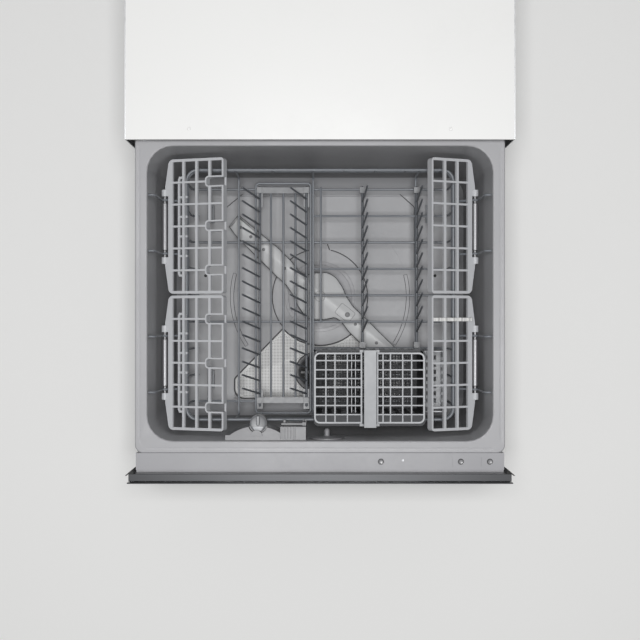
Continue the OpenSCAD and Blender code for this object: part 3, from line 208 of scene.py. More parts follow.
def buildPerforationGroup():
    group, start, end = shaderGroup(
        "punchedHoles",
        [("Pitch", "NodeSocketFloat", 0.0025), ("Hole", "NodeSocketFloat", 0.3)],
        [("Mask", "NodeSocketFloat")])
    flat = addNode(group, "ShaderNodeVectorMath", [(objectPlace(group), 0)], operation="MULTIPLY")
    flat.inputs[1].default_value = (1, 1, 0)
    cells = addNode(group, "ShaderNodeTexVoronoi", [(flat.outputs[0], "Vector")], Randomness=0.0)
    group.links.new(mathNode(group, "DIVIDE", 1.0, start.outputs["Pitch"]), cells.inputs["Scale"])
    fromRim = mathNode(group, "SUBTRACT", cells.outputs["Distance"], start.outputs["Hole"])
    group.links.new(remap(group, fromRim, -0.08, 0.08, 1.0, 0.0), end.inputs["Mask"])
    return group


def buildWaterGroup():
    group, start, end = shaderGroup(
        "waterMarks",
        [("Color", "NodeSocketColor", (0.5, 0.5, 0.5, 1)), ("Roughness", "NodeSocketFloat", 0.4),
         ("Amount", "NodeSocketFloat", 0.08), ("Scale", "NodeSocketFloat", 60.0)],
        [("Color", "NodeSocketColor"), ("Roughness", "NodeSocketFloat")])
    drops = addNode(group, "ShaderNodeTexVoronoi", [(objectPlace(group), "Vector"),
                                                   (start.outputs["Scale"], "Scale")])
    ring = remap(group, drops.outputs["Distance"], 0.18, 0.26, 1.0, 0.0)
    sparse = remap(group, objectNoise(group, scale=14.0, detail=1.0), 0.58, 0.7, 0.0, 1.0)
    mark = mathNode(group, "MULTIPLY", ring, sparse)
    amount = mathNode(group, "MULTIPLY", mark, start.outputs["Amount"])
    lighter = mixColour(group, amount, start.outputs["Color"], (0.9, 0.9, 0.9, 1))
    rougher = mathNode(group, "ADD", start.outputs["Roughness"], amount)
    group.links.new(lighter, end.inputs["Color"])
    group.links.new(rougher, end.inputs["Roughness"])
    return group


# painted shade: darkens a colour towards the bottom of the tub, between two heights in metres, in place of
# the shade deep in the tub
def buildPaintedDepthShadeGroup():
    group, start, end = shaderGroup(
        "paintedDepthShade",
        [("Color", "NodeSocketColor", (0.5, 0.5, 0.5, 1)), ("Low", "NodeSocketFloat", 0.12),
         ("High", "NodeSocketFloat", 0.37), ("Low Tone", "NodeSocketFloat", 0.5)],
        [("Color", "NodeSocketColor")])
    height = addNode(group, "ShaderNodeSeparateXYZ", [(objectPlace(group), 0)]).outputs["Z"]
    low, high, lowTone = [start.outputs[label] for label in ("Low", "High", "Low Tone")]
    share = remap(group, height, low, high, lowTone, 1.0)
    group.links.new(scaleColour(group, start.outputs["Color"], share), end.inputs["Color"])
    return group


mouldedGroup = buildMouldedGroup()
paintedDepthShadeGroup = buildPaintedDepthShadeGroup()
brushedGroup = buildBrushedGroup()
perforationGroup = buildPerforationGroup()
waterGroup = buildWaterGroup()


def newMaterial(name):
    material = bpy.data.materials.new(name)
    material.use_nodes = True
    tree = material.node_tree
    return material, tree, tree.nodes["Principled BSDF"]


def groupNode(tree, group, values):
    node = tree.nodes.new("ShaderNodeGroup")
    node.node_tree = group
    for key, value in values.items():
        node.inputs[key].default_value = value
    return node


def connectSurface(tree, shader, surface, bump, marks):
    colour, gloss = surface.outputs["Color"], surface.outputs["Roughness"]
    if marks:
        water = groupNode(tree, waterGroup, {"Amount": marks})
        tree.links.new(colour, water.inputs["Color"])
        tree.links.new(gloss, water.inputs["Roughness"])
        colour, gloss = water.outputs["Color"], water.outputs["Roughness"]
    relief = addNode(tree, "ShaderNodeBump", [(surface.outputs["Height"], "Height")],
                     Strength=bump, Distance=mm)
    tree.links.new(colour, shader.inputs["Base Color"])
    tree.links.new(gloss, shader.inputs["Roughness"])
    tree.links.new(relief.outputs[0], shader.inputs["Normal"])


def plastic(name, colour, spread=0.06, grain=900.0, bump=0.04, gloss=(0.34, 0.5), marks=0.0):
    material, tree, shader = newMaterial(name)
    surface = groupNode(tree, mouldedGroup, {
        "Tone": (*colour, 1), "Spread": spread, "Grain Scale": grain,
        "Gloss Low": gloss[0], "Gloss High": gloss[1]})
    connectSurface(tree, shader, surface, bump, marks)
    return material


def metal(name, colour, spread=0.12, stretch=(8.0, 900.0, 900.0), bump=0.03, gloss=(0.22, 0.38),
          metallic=1.0, coat=0.0, marks=0.0):
    material, tree, shader = newMaterial(name)
    surface = groupNode(tree, brushedGroup, {
        "Tone": (*colour, 1), "Spread": spread, "Stretch": stretch,
        "Gloss Low": gloss[0], "Gloss High": gloss[1]})
    connectSurface(tree, shader, surface, bump, marks)
    shader.inputs["Metallic"].default_value = metallic
    shader.inputs["Coat Weight"].default_value = coat
    return material


def baseColour(material):
    tree = material.node_tree
    base = tree.nodes["Principled BSDF"].inputs["Base Color"]
    return tree, base, base.links[0].from_socket


def punchedSteel(name, colour, pitch=0.0026, hole=0.26):
    material = metal(name, colour, stretch=(600, 600, 600), gloss=(0.5, 0.62), metallic=0.25, marks=0.05)
    tree, base, plain = baseColour(material)
    holes = groupNode(tree, perforationGroup, {"Pitch": pitch, "Hole": hole})
    tree.links.new(mixColour(tree, holes.outputs["Mask"], plain, (0.10, 0.10, 0.10, 1)), base)
    return material


# tub wall plastic with the painted shade that darkens it towards the bottom
def wallPlasticWithPaintedShade(name, colour, lowTone):
    material = plastic(name, colour, spread=0.05, gloss=(0.4, 0.5), marks=0.02)
    tree, base, plain = baseColour(material)
    depth = groupNode(tree, paintedDepthShadeGroup, {"Low Tone": lowTone})
    tree.links.new(plain, depth.inputs["Color"])
    tree.links.new(depth.outputs["Color"], base)
    return material


finishes = {
    "zinc_sheet": metal("zincSheet", (0.60, 0.61, 0.62), stretch=(60, 60, 900), gloss=(0.32, 0.5),
                        marks=0.03),
    "pale_top": plastic("paleTop", (0.87, 0.87, 0.86), spread=0.03, gloss=(0.35, 0.5)),
    "runner_steel": metal("runnerSteel", (0.56, 0.57, 0.58), stretch=(900, 8, 900)),
    "dark_plastic": plastic("darkPlastic", (0.045, 0.046, 0.05), gloss=(0.4, 0.6)),
    "lid_plastic": plastic("lidPlastic", (0.40, 0.40, 0.42)),
    "black_rubber": plastic("blackRubber", (0.018, 0.018, 0.018), gloss=(0.6, 0.8)),
    "tub_plastic": plastic("tubPlastic", (0.37, 0.37, 0.385), spread=0.05, gloss=(0.4, 0.5), marks=0.03),
    "strip_plastic": plastic("stripPlastic", (0.335, 0.335, 0.352), spread=0.04, gloss=(0.4, 0.5)),
    "lens_clear": plastic("lensFrosted", (0.75, 0.77, 0.80), gloss=(0.15, 0.25)),
    "front_graphite": metal("graphiteFront", (0.038, 0.039, 0.042), spread=0.05, stretch=(20, 1600, 1600),
                            bump=0.01, gloss=(0.3, 0.36), metallic=0.6, coat=0.4),
    "sump_plastic": plastic("sumpPlastic", (0.30, 0.30, 0.315), marks=0.03),
    "motor_casing": metal("motorCasing", (0.55, 0.55, 0.55), stretch=(200, 200, 200), gloss=(0.4, 0.6)),
    "filter_steel": punchedSteel("filterSteel", (0.74, 0.74, 0.735)),
    "dispenser_plastic": plastic("dispenserPlastic", (0.235, 0.235, 0.245), gloss=(0.4, 0.5)),
    "basket_wire": plastic("basketWire", (0.195, 0.208, 0.228), gloss=(0.32, 0.44)),
    "bright_sleeve": metal("brightSleeve", (0.36, 0.36, 0.37), stretch=(900, 10, 900), gloss=(0.5, 0.62)),
    "clip_plastic": plastic("clipPlastic", (0.19, 0.195, 0.205)),
    "rack_plastic": plastic("rackPlastic", (0.54, 0.55, 0.57), gloss=(0.36, 0.48)),
    "comb_plastic": plastic("combPlastic", (0.74, 0.74, 0.73)),
    "handle_plastic": plastic("handlePlastic", (0.32, 0.33, 0.345), gloss=(0.4, 0.5)),
    "key_plastic": plastic("keyPlastic", (0.10, 0.10, 0.105), gloss=(0.25, 0.4)),
    "arm_plastic": plastic("armPlastic", (0.48, 0.485, 0.49), gloss=(0.36, 0.46)),
}
keyFace = plastic("keyFace", (0.24, 0.24, 0.25), gloss=(0.22, 0.32))
# painted shade for the basket's compartments, upward faces and floor mesh
cutleryPaintedShade = plastic("cutleryPaintedShade", (0.06, 0.062, 0.066), gloss=(0.62, 0.75), marks=0.04)
filterBorder = metal("filterBorder", (0.62, 0.62, 0.615), stretch=(600, 600, 600), gloss=(0.46, 0.58),
                     metallic=0.2)
drainPlastic = plastic("drainPlastic", (0.095, 0.095, 0.1), gloss=(0.4, 0.5), marks=0.06)
tubFloor = plastic("tubFloor", (0.335, 0.337, 0.35), spread=0.06, gloss=(0.4, 0.5), marks=0.05)
# inner tub walls: a lighter copy of the tub plastic, with painted shade towards the bottom
tubWallPaintedShade = wallPlasticWithPaintedShade("tubWallPaintedShade", (0.47, 0.47, 0.482), 0.3)
screwSteel = metal("screwSteel", (0.62, 0.62, 0.62), stretch=(300, 300, 300), gloss=(0.2, 0.34))
tineShade = plastic("tineShade", (0.125, 0.133, 0.147), gloss=(0.34, 0.46))
# darker arm plastic: painted shade on the blade's sloping edges; it also colours the seam lines and jets
armPaintedShadeAndSeams = plastic("armPaintedShadeAndSeams", (0.13, 0.132, 0.138), gloss=(0.4, 0.5))
# dark lines of painted shade in the floor's seams and round the filter plate
seamPaintedShade = plastic("seamPaintedShade", (0.10, 0.10, 0.104), gloss=(0.5, 0.6))
rubber = finishes["black_rubber"]

# the camera sees the floor a little brighter than it is, and the object isn't lit by that
floorMaterial = plastic("floorPale", ground["colour"], spread=0.02, grain=60.0, bump=0.02, gloss=(0.7, 0.8))
floorTree = floorMaterial.node_tree
seen = addNode(floorTree, "ShaderNodeLightPath").outputs["Is Camera Ray"]
glow = mathNode(floorTree, "MULTIPLY", seen, ground["glow"])
floorTree.links.new(glow, floorTree.nodes["Principled BSDF"].inputs["Emission Strength"])
floorMesh.materials.append(floorMaterial)
for name, node in nodes.items():
    node.data.materials.clear()
    node.data.materials.append(finishes[slotOf[name]])
print("finishes made:", len(finishes))

sharpAngle = math.radians(35.0)
flatAngle = math.radians(0.6)
weldGap = {"cad": 0.005, "made": 0.002}  # millimetres
facingUp = 0.9


# a new piece rides with the CAD node named carrier and takes its slot, unless another one is given
def addPiece(name, carrier, bm, replaced=(), looks=None, slotName=None, recalc=True):
    if recalc:
        bmesh.ops.recalc_face_normals(bm, faces=bm.faces[:])
    slotName = slotName or slotOf[carrier]
    mesh = bpy.data.meshes.new(name)
    bm.to_mesh(mesh)
    bm.free()
    for material in looks or [finishes[slotName]]:
        mesh.materials.append(material)
    mesh.polygons.foreach_set("use_smooth", [True] * len(mesh.polygons))
    mesh.set_sharp_from_angle(angle=sharpAngle)
    mesh.update()
    piece = newObject(name, mesh)
    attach(piece, bodyOf[carrier])
    if replaced:
        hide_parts(*replaced)
    return piece


def flattenFaces(piece):
    flat = piece.modifiers.new("flatFaces", "WEIGHTED_NORMAL")
    flat.weight = 100
    flat.keep_sharp = True


def softenEdges(piece, width, segments=2):
    soft = piece.modifiers.new("softEdges", "BEVEL")
    soft.width = width * mm
    soft.segments = segments
    soft.limit_method = "ANGLE"
    soft.angle_limit = sharpAngle
    soft.use_clamp_overlap = True
    flattenFaces(piece)


def refinedCopy(name, width, looks=None, pick=None, trim=None):
    bm = bmesh.new()
    bm.from_mesh(nodes[name].data)
    bmesh.ops.remove_doubles(bm, verts=bm.verts[:], dist=weldGap["cad"] * mm)
    bmesh.ops.dissolve_limit(bm, angle_limit=flatAngle, verts=bm.verts[:], edges=bm.edges[:])
    if trim:
        trim(bm)
    if pick:
        for face in bm.faces:
            face.material_index = pick(face)
    piece = addPiece(name + "Fine", name, bm, (name,), looks, recalc=False)
    if width:
        softenEdges(piece, width)
    else:
        flattenFaces(piece)


# drawer parts are drawn in millimetres about the closed drawer and shifted to the open one
openShift = 510.0


def spot(x, y, z):
    return Vector((x, y - openShift, z)) * mm


def rectangle(left, right, front, back, z):
    return [spot(left, front, z), spot(right, front, z), spot(right, back, z), spot(left, back, z)]


def atHeight(outline, z):
    return [spot(place[0], place[1], z) for place in outline]


# a run is its points, its radius, the radius of its bends, and whether it closes on itself
def straight(start, end, radius):
    return [spot(*start), spot(*end)], radius, 0, False


def roundCorners(points, bends, closed=False, steps=6):
    count = len(points)
    if not isinstance(bends, (list, tuple)):
        bends = [bends] * count
    path = []
    for index, corner in enumerate(points):
        if bends[index] <= 0 or (not closed and index in (0, count - 1)):
            path.append(corner)
            continue
        back = points[index - 1] - corner
        ahead = points[(index + 1) % count] - corner
        half = back.angle(ahead) / 2
        longest = min(back.length, ahead.length) * 0.49  # just under half of the shorter side
        reach = min(bends[index] / math.tan(half), longest)
        first, last = corner + back.normalized() * reach, corner + ahead.normalized() * reach
        middle = corner + (back.normalized() + ahead.normalized()).normalized() * (reach / math.cos(half))
        radius = (first - middle).length
        start, end = (first - middle).normalized(), (last - middle).normalized()
        path += [middle + start.slerp(end, step / steps) * radius for step in range(steps + 1)]
    return path


# rounded wire ends: the last millimetres of a path shrink along a quarter circle
def roundTips(path, radius, turns=(0.0, 0.5, 1.0, 1.35)):
    places = [(place, radius) for place in path]
    for end, near in ((0, 1), (-1, -2)):
        outward = (path[end] - path[near]).normalized() * radius * mm
        tip = [(path[end] - outward * (1 - math.sin(turn)), radius * math.cos(turn)) for turn in turns]
        if end == 0:
            places = tip[::-1] + places[1:]
        else:
            places = places[:-1] + tip
    return places


def addSpline(curve, places, closed):
    spline = curve.splines.new("POLY")
    spline.points.add(len(places) - 1)
    for index, (place, size) in enumerate(places):
        spline.points[index].co = (*place, 1)
        spline.points[index].radius = size
    spline.use_cyclic_u = closed


def curveToMesh(curve):
    holder = newObject(curve.name, curve)
    mesh = bpy.data.meshes.new_from_object(holder.evaluated_get(bpy.context.evaluated_depsgraph_get()))
    bm = bmesh.new()
    bm.from_mesh(mesh)
    bpy.data.objects.remove(holder)
    bpy.data.curves.remove(curve)
    bpy.data.meshes.remove(mesh)
    return bm


def wireMesh(runs, sides=5):
    curve = bpy.data.curves.new("wirePaths", "CURVE")
    curve.dimensions = "3D"
    curve.bevel_depth = mm
    curve.bevel_resolution = sides
    curve.use_fill_caps = True
    for points, radius, bend, closed in runs:
        path = roundCorners(points, bend * mm, closed)
        places = [(place, radius) for place in path] if closed else roundTips(path, radius)
        addSpline(curve, places, closed)
    return curveToMesh(curve)


# flat plate cut from closed outlines; outlines inside the first one become holes
def plateMesh(outlines, low, high, edge):
    curve = bpy.data.curves.new("plateOutline", "CURVE")
    curve.dimensions = "2D"
    curve.fill_mode = "BOTH"
    curve.extrude = ((high - low) / 2 - edge) * mm
    curve.bevel_depth = edge * mm
    curve.bevel_resolution = 1
    curve.offset = -edge * mm
    for outline in outlines:
        addSpline(curve, [((place.x * mm, place.y * mm, 0), 1.0) for place in outline], True)
    bm = curveToMesh(curve)
    bmesh.ops.remove_doubles(bm, verts=bm.verts[:], dist=weldGap["made"] * mm)
    bmesh.ops.translate(bm, vec=(0, -openShift * mm, (low + high) / 2 * mm), verts=bm.verts[:])
    return bm


# the vertices of earlier spins in the same mesh are tagged, so only the new ones are moved
def spinProfile(bm, profile, centre, turn=None, steps=48):
    points = [bm.verts.new((radius * mm, 0, height * mm)) for radius, height in profile]
    edges = [bm.edges.new(pair) for pair in zip(points, points[1:])]
    bmesh.ops.spin(bm, geom=points + edges, cent=(0, 0, 0), axis=(0, 0, 1), angle=2 * math.pi, steps=steps,
                   use_merge=True)
    fresh = list(dict.fromkeys(vert for face in bm.faces for vert in face.verts if not vert.tag))
    place = Matrix.Translation(centre) @ (turn or Matrix.Identity(4))
    bmesh.ops.transform(bm, matrix=place, verts=fresh)
    bmesh.ops.remove_doubles(bm, verts=fresh, dist=weldGap["made"] * mm)
    for vert in bm.verts:
        vert.tag = True


def addBlock(bm, size, centre):
    scale = Matrix.Diagonal((*[side * mm for side in size], 1))
    bmesh.ops.create_cube(bm, size=1, matrix=Matrix.Translation(centre) @ scale)


def discOutline(x, y, radius, steps=64, backwards=False):
    turns = [2 * math.pi * index / steps for index in range(steps)]
    if backwards:
        turns = turns[::-1]
    return [Vector((x + radius * math.cos(turn), y + radius * math.sin(turn), 0)) for turn in turns]


def plainName(node):
    return node.replace("_", "")


# wire basket: U-shaped cross and long wires, round top rail, tine loop
basket = {"halfWidth": 217.0, "halfDepth": 203.05, "midY": 0.05, "floor": 185.0, "longZ": 188.6,
          "rail": 282.0, "midWire": 262.0, "bend": 9.0, "railBend": 18.0, "wire": 1.9, "railWire": 2.3,
          "seat": 0.3, "firstCross": -178.95, "pitch": 45.0, "crossCount": 9, "fullCross": (0, 3, 6, 8),
          "leftStub": 12.0, "rightStart": -14.0, "long": (-138.0, -11.6, 162.6),
          "dividers": (-83.4, -62.2, -41.7), "shortDivider": (1.4, -45.95), "past": 4.0,
          "uprights": (-177, -77, 40, 90, 140, 197),
          "loop": (-109.05, -15.95, -199.0, 191.05), "loopBend": 6.0}
wide, middle = basket["halfWidth"], basket["midY"]
basketFront, basketBack = middle - basket["halfDepth"], middle + basket["halfDepth"]
wire, bend, seat = basket["wire"], basket["bend"], basket["seat"]
floorZ, longZ, railZ, midZ = basket["floor"], basket["longZ"], basket["rail"], basket["midWire"]
crossWires = [basket["firstCross"] + basket["pitch"] * index for index in range(basket["crossCount"])]
dividerFront, dividerBack = crossWires[0] - basket["past"], crossWires[-1] + basket["past"]
runs = []
for index, y in enumerate(crossWires):
    edge = wide - seat
    right = [spot(edge, y, floorZ), spot(edge, y, railZ)]
    left = [spot(-edge, y, railZ), spot(-edge, y, floorZ)]
    if index in basket["fullCross"]:
        runs.append((left + right, wire, bend, False))
    else:
        runs.append((left + [spot(-wide + basket["leftStub"], y, floorZ)], wire, bend, False))
        runs.append(([spot(basket["rightStart"], y, floorZ)] + right, wire, bend, False))
for x in basket["long"]:
    front, back = basketFront + seat, basketBack - seat
    runs.append(([spot(x, front, railZ), spot(x, front, longZ), spot(x, back, longZ), spot(x, back, railZ)],
                 wire, bend, False))
for x in basket["dividers"]:
    runs.append(straight((x, dividerFront, longZ), (x, dividerBack, longZ), wire))
shortX, shortFront = basket["shortDivider"]
runs.append(straight((shortX, shortFront, longZ), (shortX, dividerBack, longZ), wire))
runs.append((rectangle(*basket["loop"], longZ), wire, basket["loopBend"], True))
for height, thick in ((railZ, basket["railWire"]), (midZ, wire)):
    runs.append((rectangle(-wide, wide, basketFront, basketBack, height), thick, basket["railBend"], True))
for x in basket["uprights"]:
    for y in (basketFront, basketBack):
        runs.append(straight((x, y, midZ), (x, y, railZ), wire))
addPiece("basketWires", "basket_floor", wireMesh(runs),
         ("basket_floor", "basket_side_left", "basket_side_right", "basket_front", "basket_back"))
print("basket wires:", len(runs))

# folding tine rows: a rod in its clips with leaning tines that have round tips
tineRows = {
    "tine_row_far_left": {"x": -102.0, "from": -187.95, "to": 186.05, "lean": (-26, 13)},
    "tine_row_mid_left": {"x": -23.0, "from": -187.95, "to": 186.05, "lean": (-26, 13)},
    "tine_row_mid_right": {"x": 72.0, "from": -87.35, "to": 186.05, "lean": (6, 20)},
    "tine_row_far_right": {"x": 164.0, "from": -87.35, "to": 186.05, "lean": (4, 20)},
}
tineSize = {"rodZ": 194.1, "rod": 2.2, "tine": 1.6, "length": 74.0, "pitch": 22.0, "margin": 34.0}
for node, row in tineRows.items():
    x, rodZ = row["x"], tineSize["rodZ"]
    count = int((row["to"] - row["from"] - tineSize["margin"]) // tineSize["pitch"])
    start = (row["from"] + row["to"]) / 2 - count * tineSize["pitch"] / 2
    leanX, leanY = row["lean"]
    tipZ = rodZ + math.sqrt(tineSize["length"] ** 2 - leanX ** 2 - leanY ** 2)
    runs = [straight((x, row["from"], rodZ), (x, row["to"], rodZ), tineSize["rod"])]
    for index in range(count + 1):
        y = start + index * tineSize["pitch"]
        runs.append(straight((x, y, rodZ), (x + leanX, y + leanY, tipZ), tineSize["tine"]))
    addPiece(plainName(node) + "Wires", node, wireMesh(runs), (node,), [tineShade])
print("tine rows:", len(tineRows))

# hangers of the cup racks: stub at the tub wall, upright, eye round the axle, leg to the basket
hanger = {"wall": 267.6, "top": 372.0, "axleX": 252.0, "axleZ": 284.0, "ring": 4.55, "wire": 1.75,
          "bend": 5.0, "rackMid": 110.25, "hookAt": 43.5, "legReach": 39.3, "clear": 0.3, "foot": 1.0,
          "eyeSteps": 24}
legTurn = math.atan2(midZ - hanger["axleZ"], wide - hanger["axleX"])
uprightX = hanger["axleX"] + hanger["ring"] + hanger["clear"]
hangerYs = [middle + end * hanger["rackMid"] + hook * hanger["hookAt"]
            for end in (-1, 1) for hook in (-1, 1)]
eyeTurns = [2 * math.pi * index / hanger["eyeSteps"] for index in range(hanger["eyeSteps"])]


def aroundAxle(side, y, reach, turn):
    x, z = hanger["axleX"] + reach * math.cos(turn), hanger["axleZ"] + reach * math.sin(turn)
    return spot(side * x, y, z)


for side, node in ((-1, "hangers_left"), (1, "hangers_right")):
    runs = []
    for y in hangerYs:
        hook = [spot(side * hanger["wall"], y, hanger["top"]), spot(side * uprightX, y, hanger["top"]),
                spot(side * uprightX, y, hanger["axleZ"] - hanger["foot"])]
        runs.append((hook, hanger["wire"], hanger["bend"], False))
        eye = [aroundAxle(side, y, hanger["ring"], turn) for turn in eyeTurns]
        runs.append((eye, hanger["wire"], 0, True))
        leg = [aroundAxle(side, y, reach, legTurn) for reach in (hanger["ring"], hanger["legReach"])]
        runs.append((leg, hanger["wire"], 0, False))
    addPiece(plainName(node) + "Wires", node, wireMesh(runs), (node,))
print("hangers bent")

# cutlery lids: thin round bars in a frame that turns on the pin beside the handle
lids = {
    "cutlery_lid_left": {"pin": 66.2, "far": -8.0, "bars": (9.4, 23.9, 43.7)},
    "cutlery_lid_right": {"pin": 91.8, "far": 166.0, "bars": (100.6, 112.4, 132.0, 146.2)},
}
lidBars = {"z": 322.5, "front": -205.0, "back": -94.2, "frame": 1.6, "bar": 1.25, "corner": 8.0,
           "pinWire": 1.2, "pinPast": 3.4, "rows": (-105.8, -120.5, -134.5, -148.3, -163.1, -177.5, -192.0),
           "thickRow": -148.3, "thickBar": 1.625}
for node, lid in lids.items():
    z, front, back = lidBars["z"], lidBars["front"], lidBars["back"]
    pin, far, past = lid["pin"], lid["far"], lidBars["pinPast"]
    runs = [(rectangle(pin, far, front, back, z), lidBars["frame"], lidBars["corner"], False),
            straight((pin, front, z), (pin, back, z), lidBars["frame"]),
            straight((pin, front - past, z), (pin, back + past, z), lidBars["pinWire"])]
    for x in lid["bars"]:
        runs.append(straight((x, front, z), (x, back, z), lidBars["bar"]))
    for y in lidBars["rows"]:
        thick = lidBars["thickBar"] if y == lidBars["thickRow"] else lidBars["bar"]
        runs.append(straight((pin, y, z), (far, y, z), thick))
    addPiece(plainName(node) + "Grid", node, wireMesh(runs, 3), (node,))
print("cutlery lids:", len(lids))

# cutlery basket: light outside, painted shade on its compartments and upward faces, fine floor mesh,
# partitions and a round rim
cutlery = {"x": (-9.0, 167.0), "y": (-193.35, -89.35), "skin": 1.0, "wall": 2.5,
           "rim": (-8.6, 167.2, -208.9, -89.6), "rimWire": 1.4, "rimBend": 8.0, "rimZ": 319.1,
           "meshPitch": 4.4, "meshWire": 0.75, "meshZ": 193.9, "cells": ((-6.5, 76.0), (82.0, 164.5)),
           "partitions": (51.1, 57.4), "partitionTop": 296.0, "partitionWall": 1.4, "partitionGap": 2.6}


def between(value, limits, margin):
    return limits[0] + margin < value < limits[1] - margin


# faces inside the compartments and faces pointing up get the painted shade, the rest the light plastic
def cutleryPaintedShadeFaces(face):
    place = face.calc_center_median() / mm
    inside = (between(place.x, cutlery["x"], cutlery["skin"])
              and between(place.y + openShift, cutlery["y"], cutlery["skin"]))
    return 1 if inside or face.normal.z > facingUp else 0


# the flange's upright corner edges are the ones that lie in a corner of the basket's outline
def roundFlange(bm):
    lows = [min(vert.co[axis] for vert in bm.verts) for axis in (0, 1)]
    highs = [max(vert.co[axis] for vert in bm.verts) for axis in (0, 1)]
    corners = [edge for edge in bm.edges if abs(edge.verts[0].co.z - edge.verts[1].co.z) > mm
               and all(min(vert.co[axis] - lows[axis], highs[axis] - vert.co[axis]) < 0.2 * mm
                       for vert in edge.verts for axis in (0, 1))]
    bmesh.ops.bevel(bm, geom=corners, offset=cutlery["rimBend"] * mm, offset_type="OFFSET", segments=6,
                    profile=0.5, affect="EDGES", material=-1)
    bm.normal_update()


basketLooks = [finishes[slotOf["cutlery_basket"]], cutleryPaintedShade]
refinedCopy("cutlery_basket", 0.5, basketLooks, cutleryPaintedShadeFaces, roundFlange)
rimRun = (rectangle(*cutlery["rim"], cutlery["rimZ"]), cutlery["rimWire"], cutlery["rimBend"], True)
addPiece("cutleryRim", "cutlery_basket", wireMesh([rimRun]))
runs = []
meshZ = cutlery["meshZ"]
front, back = cutlery["y"][0] + cutlery["wall"], cutlery["y"][1] - cutlery["wall"]
for left, right in cutlery["cells"]:
    columns = int((right - left) // cutlery["meshPitch"])
    lines = int((back - front) // cutlery["meshPitch"])
    for index in range(1, columns):
        x = left + index * (right - left) / columns
        runs.append(straight((x, front, meshZ), (x, back, meshZ), cutlery["meshWire"]))
    for index in range(1, lines):
        y = front + index * (back - front) / lines
        runs.append(straight((left, y, meshZ), (right, y, meshZ), cutlery["meshWire"]))
addPiece("cutleryFloorMesh", "cutlery_basket", wireMesh(runs, 1), looks=[cutleryPaintedShade])
bm = bmesh.new()
front, back = cutlery["y"][0] + cutlery["partitionGap"], cutlery["y"][1] - cutlery["partitionGap"]
height = cutlery["partitionTop"] - meshZ
for x in cutlery["partitions"]:
    addBlock(bm, (cutlery["partitionWall"], back - front, height),
             spot(x, (front + back) / 2, meshZ + height / 2))
softenEdges(addPiece("cutleryPartitions", "cutlery_basket", bm), 0.4)
print("cutlery basket filled")

# filter plate: punched sheet inside a plain raised border, and the dished drain filter in its well
sieve = {"halfWidth": 149.7, "front": -178.4, "side": -144.65, "sideStep": 0.6,
         "shoulderX": 66.0, "shoulderY": -58.0, "shoulderStep": 0.4, "arc": 86.8, "arcSteps": 24,
         "bends": (26, 9, 4), "well": (-10.0, -132.7), "wellRadius": 31.0, "top": 105.0, "thick": 1.2,
         "sheetDrop": 0.3, "sheetEdge": 0.1, "border": 4.0, "borderThick": 0.5, "borderEdge": 0.2,
         "collar": 6.0, "gapWide": 1.7, "gapLow": 1.6, "gapTop": 0.8}


# outline of the plate: straight front with round corners, short sides, shoulders, and an arc round the arm
def sieveOutline(inset, backwards=False):
    arc, steps = sieve["arc"] + inset, sieve["arcSteps"]
    shoulder = math.atan2(sieve["shoulderY"] - inset * sieve["shoulderStep"], sieve["shoulderX"] - inset)
    sweep = [shoulder + (-math.pi - 2 * shoulder) * index / steps for index in range(steps + 1)]
    halfWidth, front = sieve["halfWidth"] - inset, sieve["front"] + inset
    side = sieve["side"] - inset * sieve["sideStep"]
    corners = [Vector((x, y, 0)) for x, y in ((-halfWidth, front), (halfWidth, front), (halfWidth, side))]
    corners += [Vector((arc * math.cos(turn), arc * math.sin(turn) + middle, 0)) for turn in sweep]
    corners.append(Vector((-halfWidth, side, 0)))
    frontBend, sideBend, shoulderBend = sieve["bends"]
    bends = [frontBend, frontBend, sideBend, shoulderBend] + [0] * (steps - 1) + [shoulderBend, sideBend]
    path = roundCorners(corners, [max(1, bend - inset) if bend else 0 for bend in bends], True)
    return path[::-1] if backwards else path


wellX, wellY = sieve["well"]
plateTop = sieve["top"]
borderLow, borderEdge = plateTop - sieve["borderThick"], sieve["borderEdge"]
wellHole = discOutline(wellX, wellY, sieve["wellRadius"], backwards=True)
sheet = plateMesh([sieveOutline(0), wellHole], plateTop - sieve["thick"], plateTop - sieve["sheetDrop"],
                  sieve["sheetEdge"])
addPiece("filterSheet", "filter_plate", sheet, ("filter_plate",))
border = plateMesh([sieveOutline(0), sieveOutline(sieve["border"], True)], borderLow, plateTop, borderEdge)
addPiece("filterBorder", "filter_plate", border, looks=[filterBorder])
# black sheet under the gap round the plate: painted shade in the gap
gap = plateMesh([sieveOutline(-sieve["gapWide"])], plateTop - sieve["gapLow"], plateTop - sieve["gapTop"],
                sieve["sheetEdge"])
addPiece("filterGapPaintedShade", "filter_plate", gap, looks=[rubber])
collarDisc = discOutline(wellX, wellY, sieve["wellRadius"] + sieve["collar"])
addPiece("filterCollar", "filter_plate", plateMesh([collarDisc, wellHole], borderLow, plateTop, borderEdge),
         looks=[filterBorder])
drain = {"dish": ((0, 101.2), (12, 101.4), (20, 102.4), (24, 104.0), (26.5, 106.6), (28, 107.6),
                  (32.6, 107.7), (33.6, 107.2), (34, 106.2), (34, 105.4), (29, 105.3), (29, 48.0), (0, 48.0)),
         "grip": (48.0, 5.0, 16.0), "gripFoot": 101.4, "seal": (34.1, 0.55), "sealZ": 105.9}
bm = bmesh.new()
spinProfile(bm, drain["dish"], spot(wellX, wellY, 0), steps=64)
addBlock(bm, drain["grip"], spot(wellX, wellY, drain["gripFoot"] + drain["grip"][2] / 2))
softenEdges(addPiece("drainDish", "drain_filter", bm, ("drain_filter",), [drainPlastic]), 1.2, 3)
sealRadius, sealWire = drain["seal"]
ring = atHeight(discOutline(wellX, wellY, sealRadius), drain["sealZ"])
addPiece("drainSeal", "drain_filter", wireMesh([(ring, sealWire, 0, True)]), looks=[rubber])
print("filter and drain built")

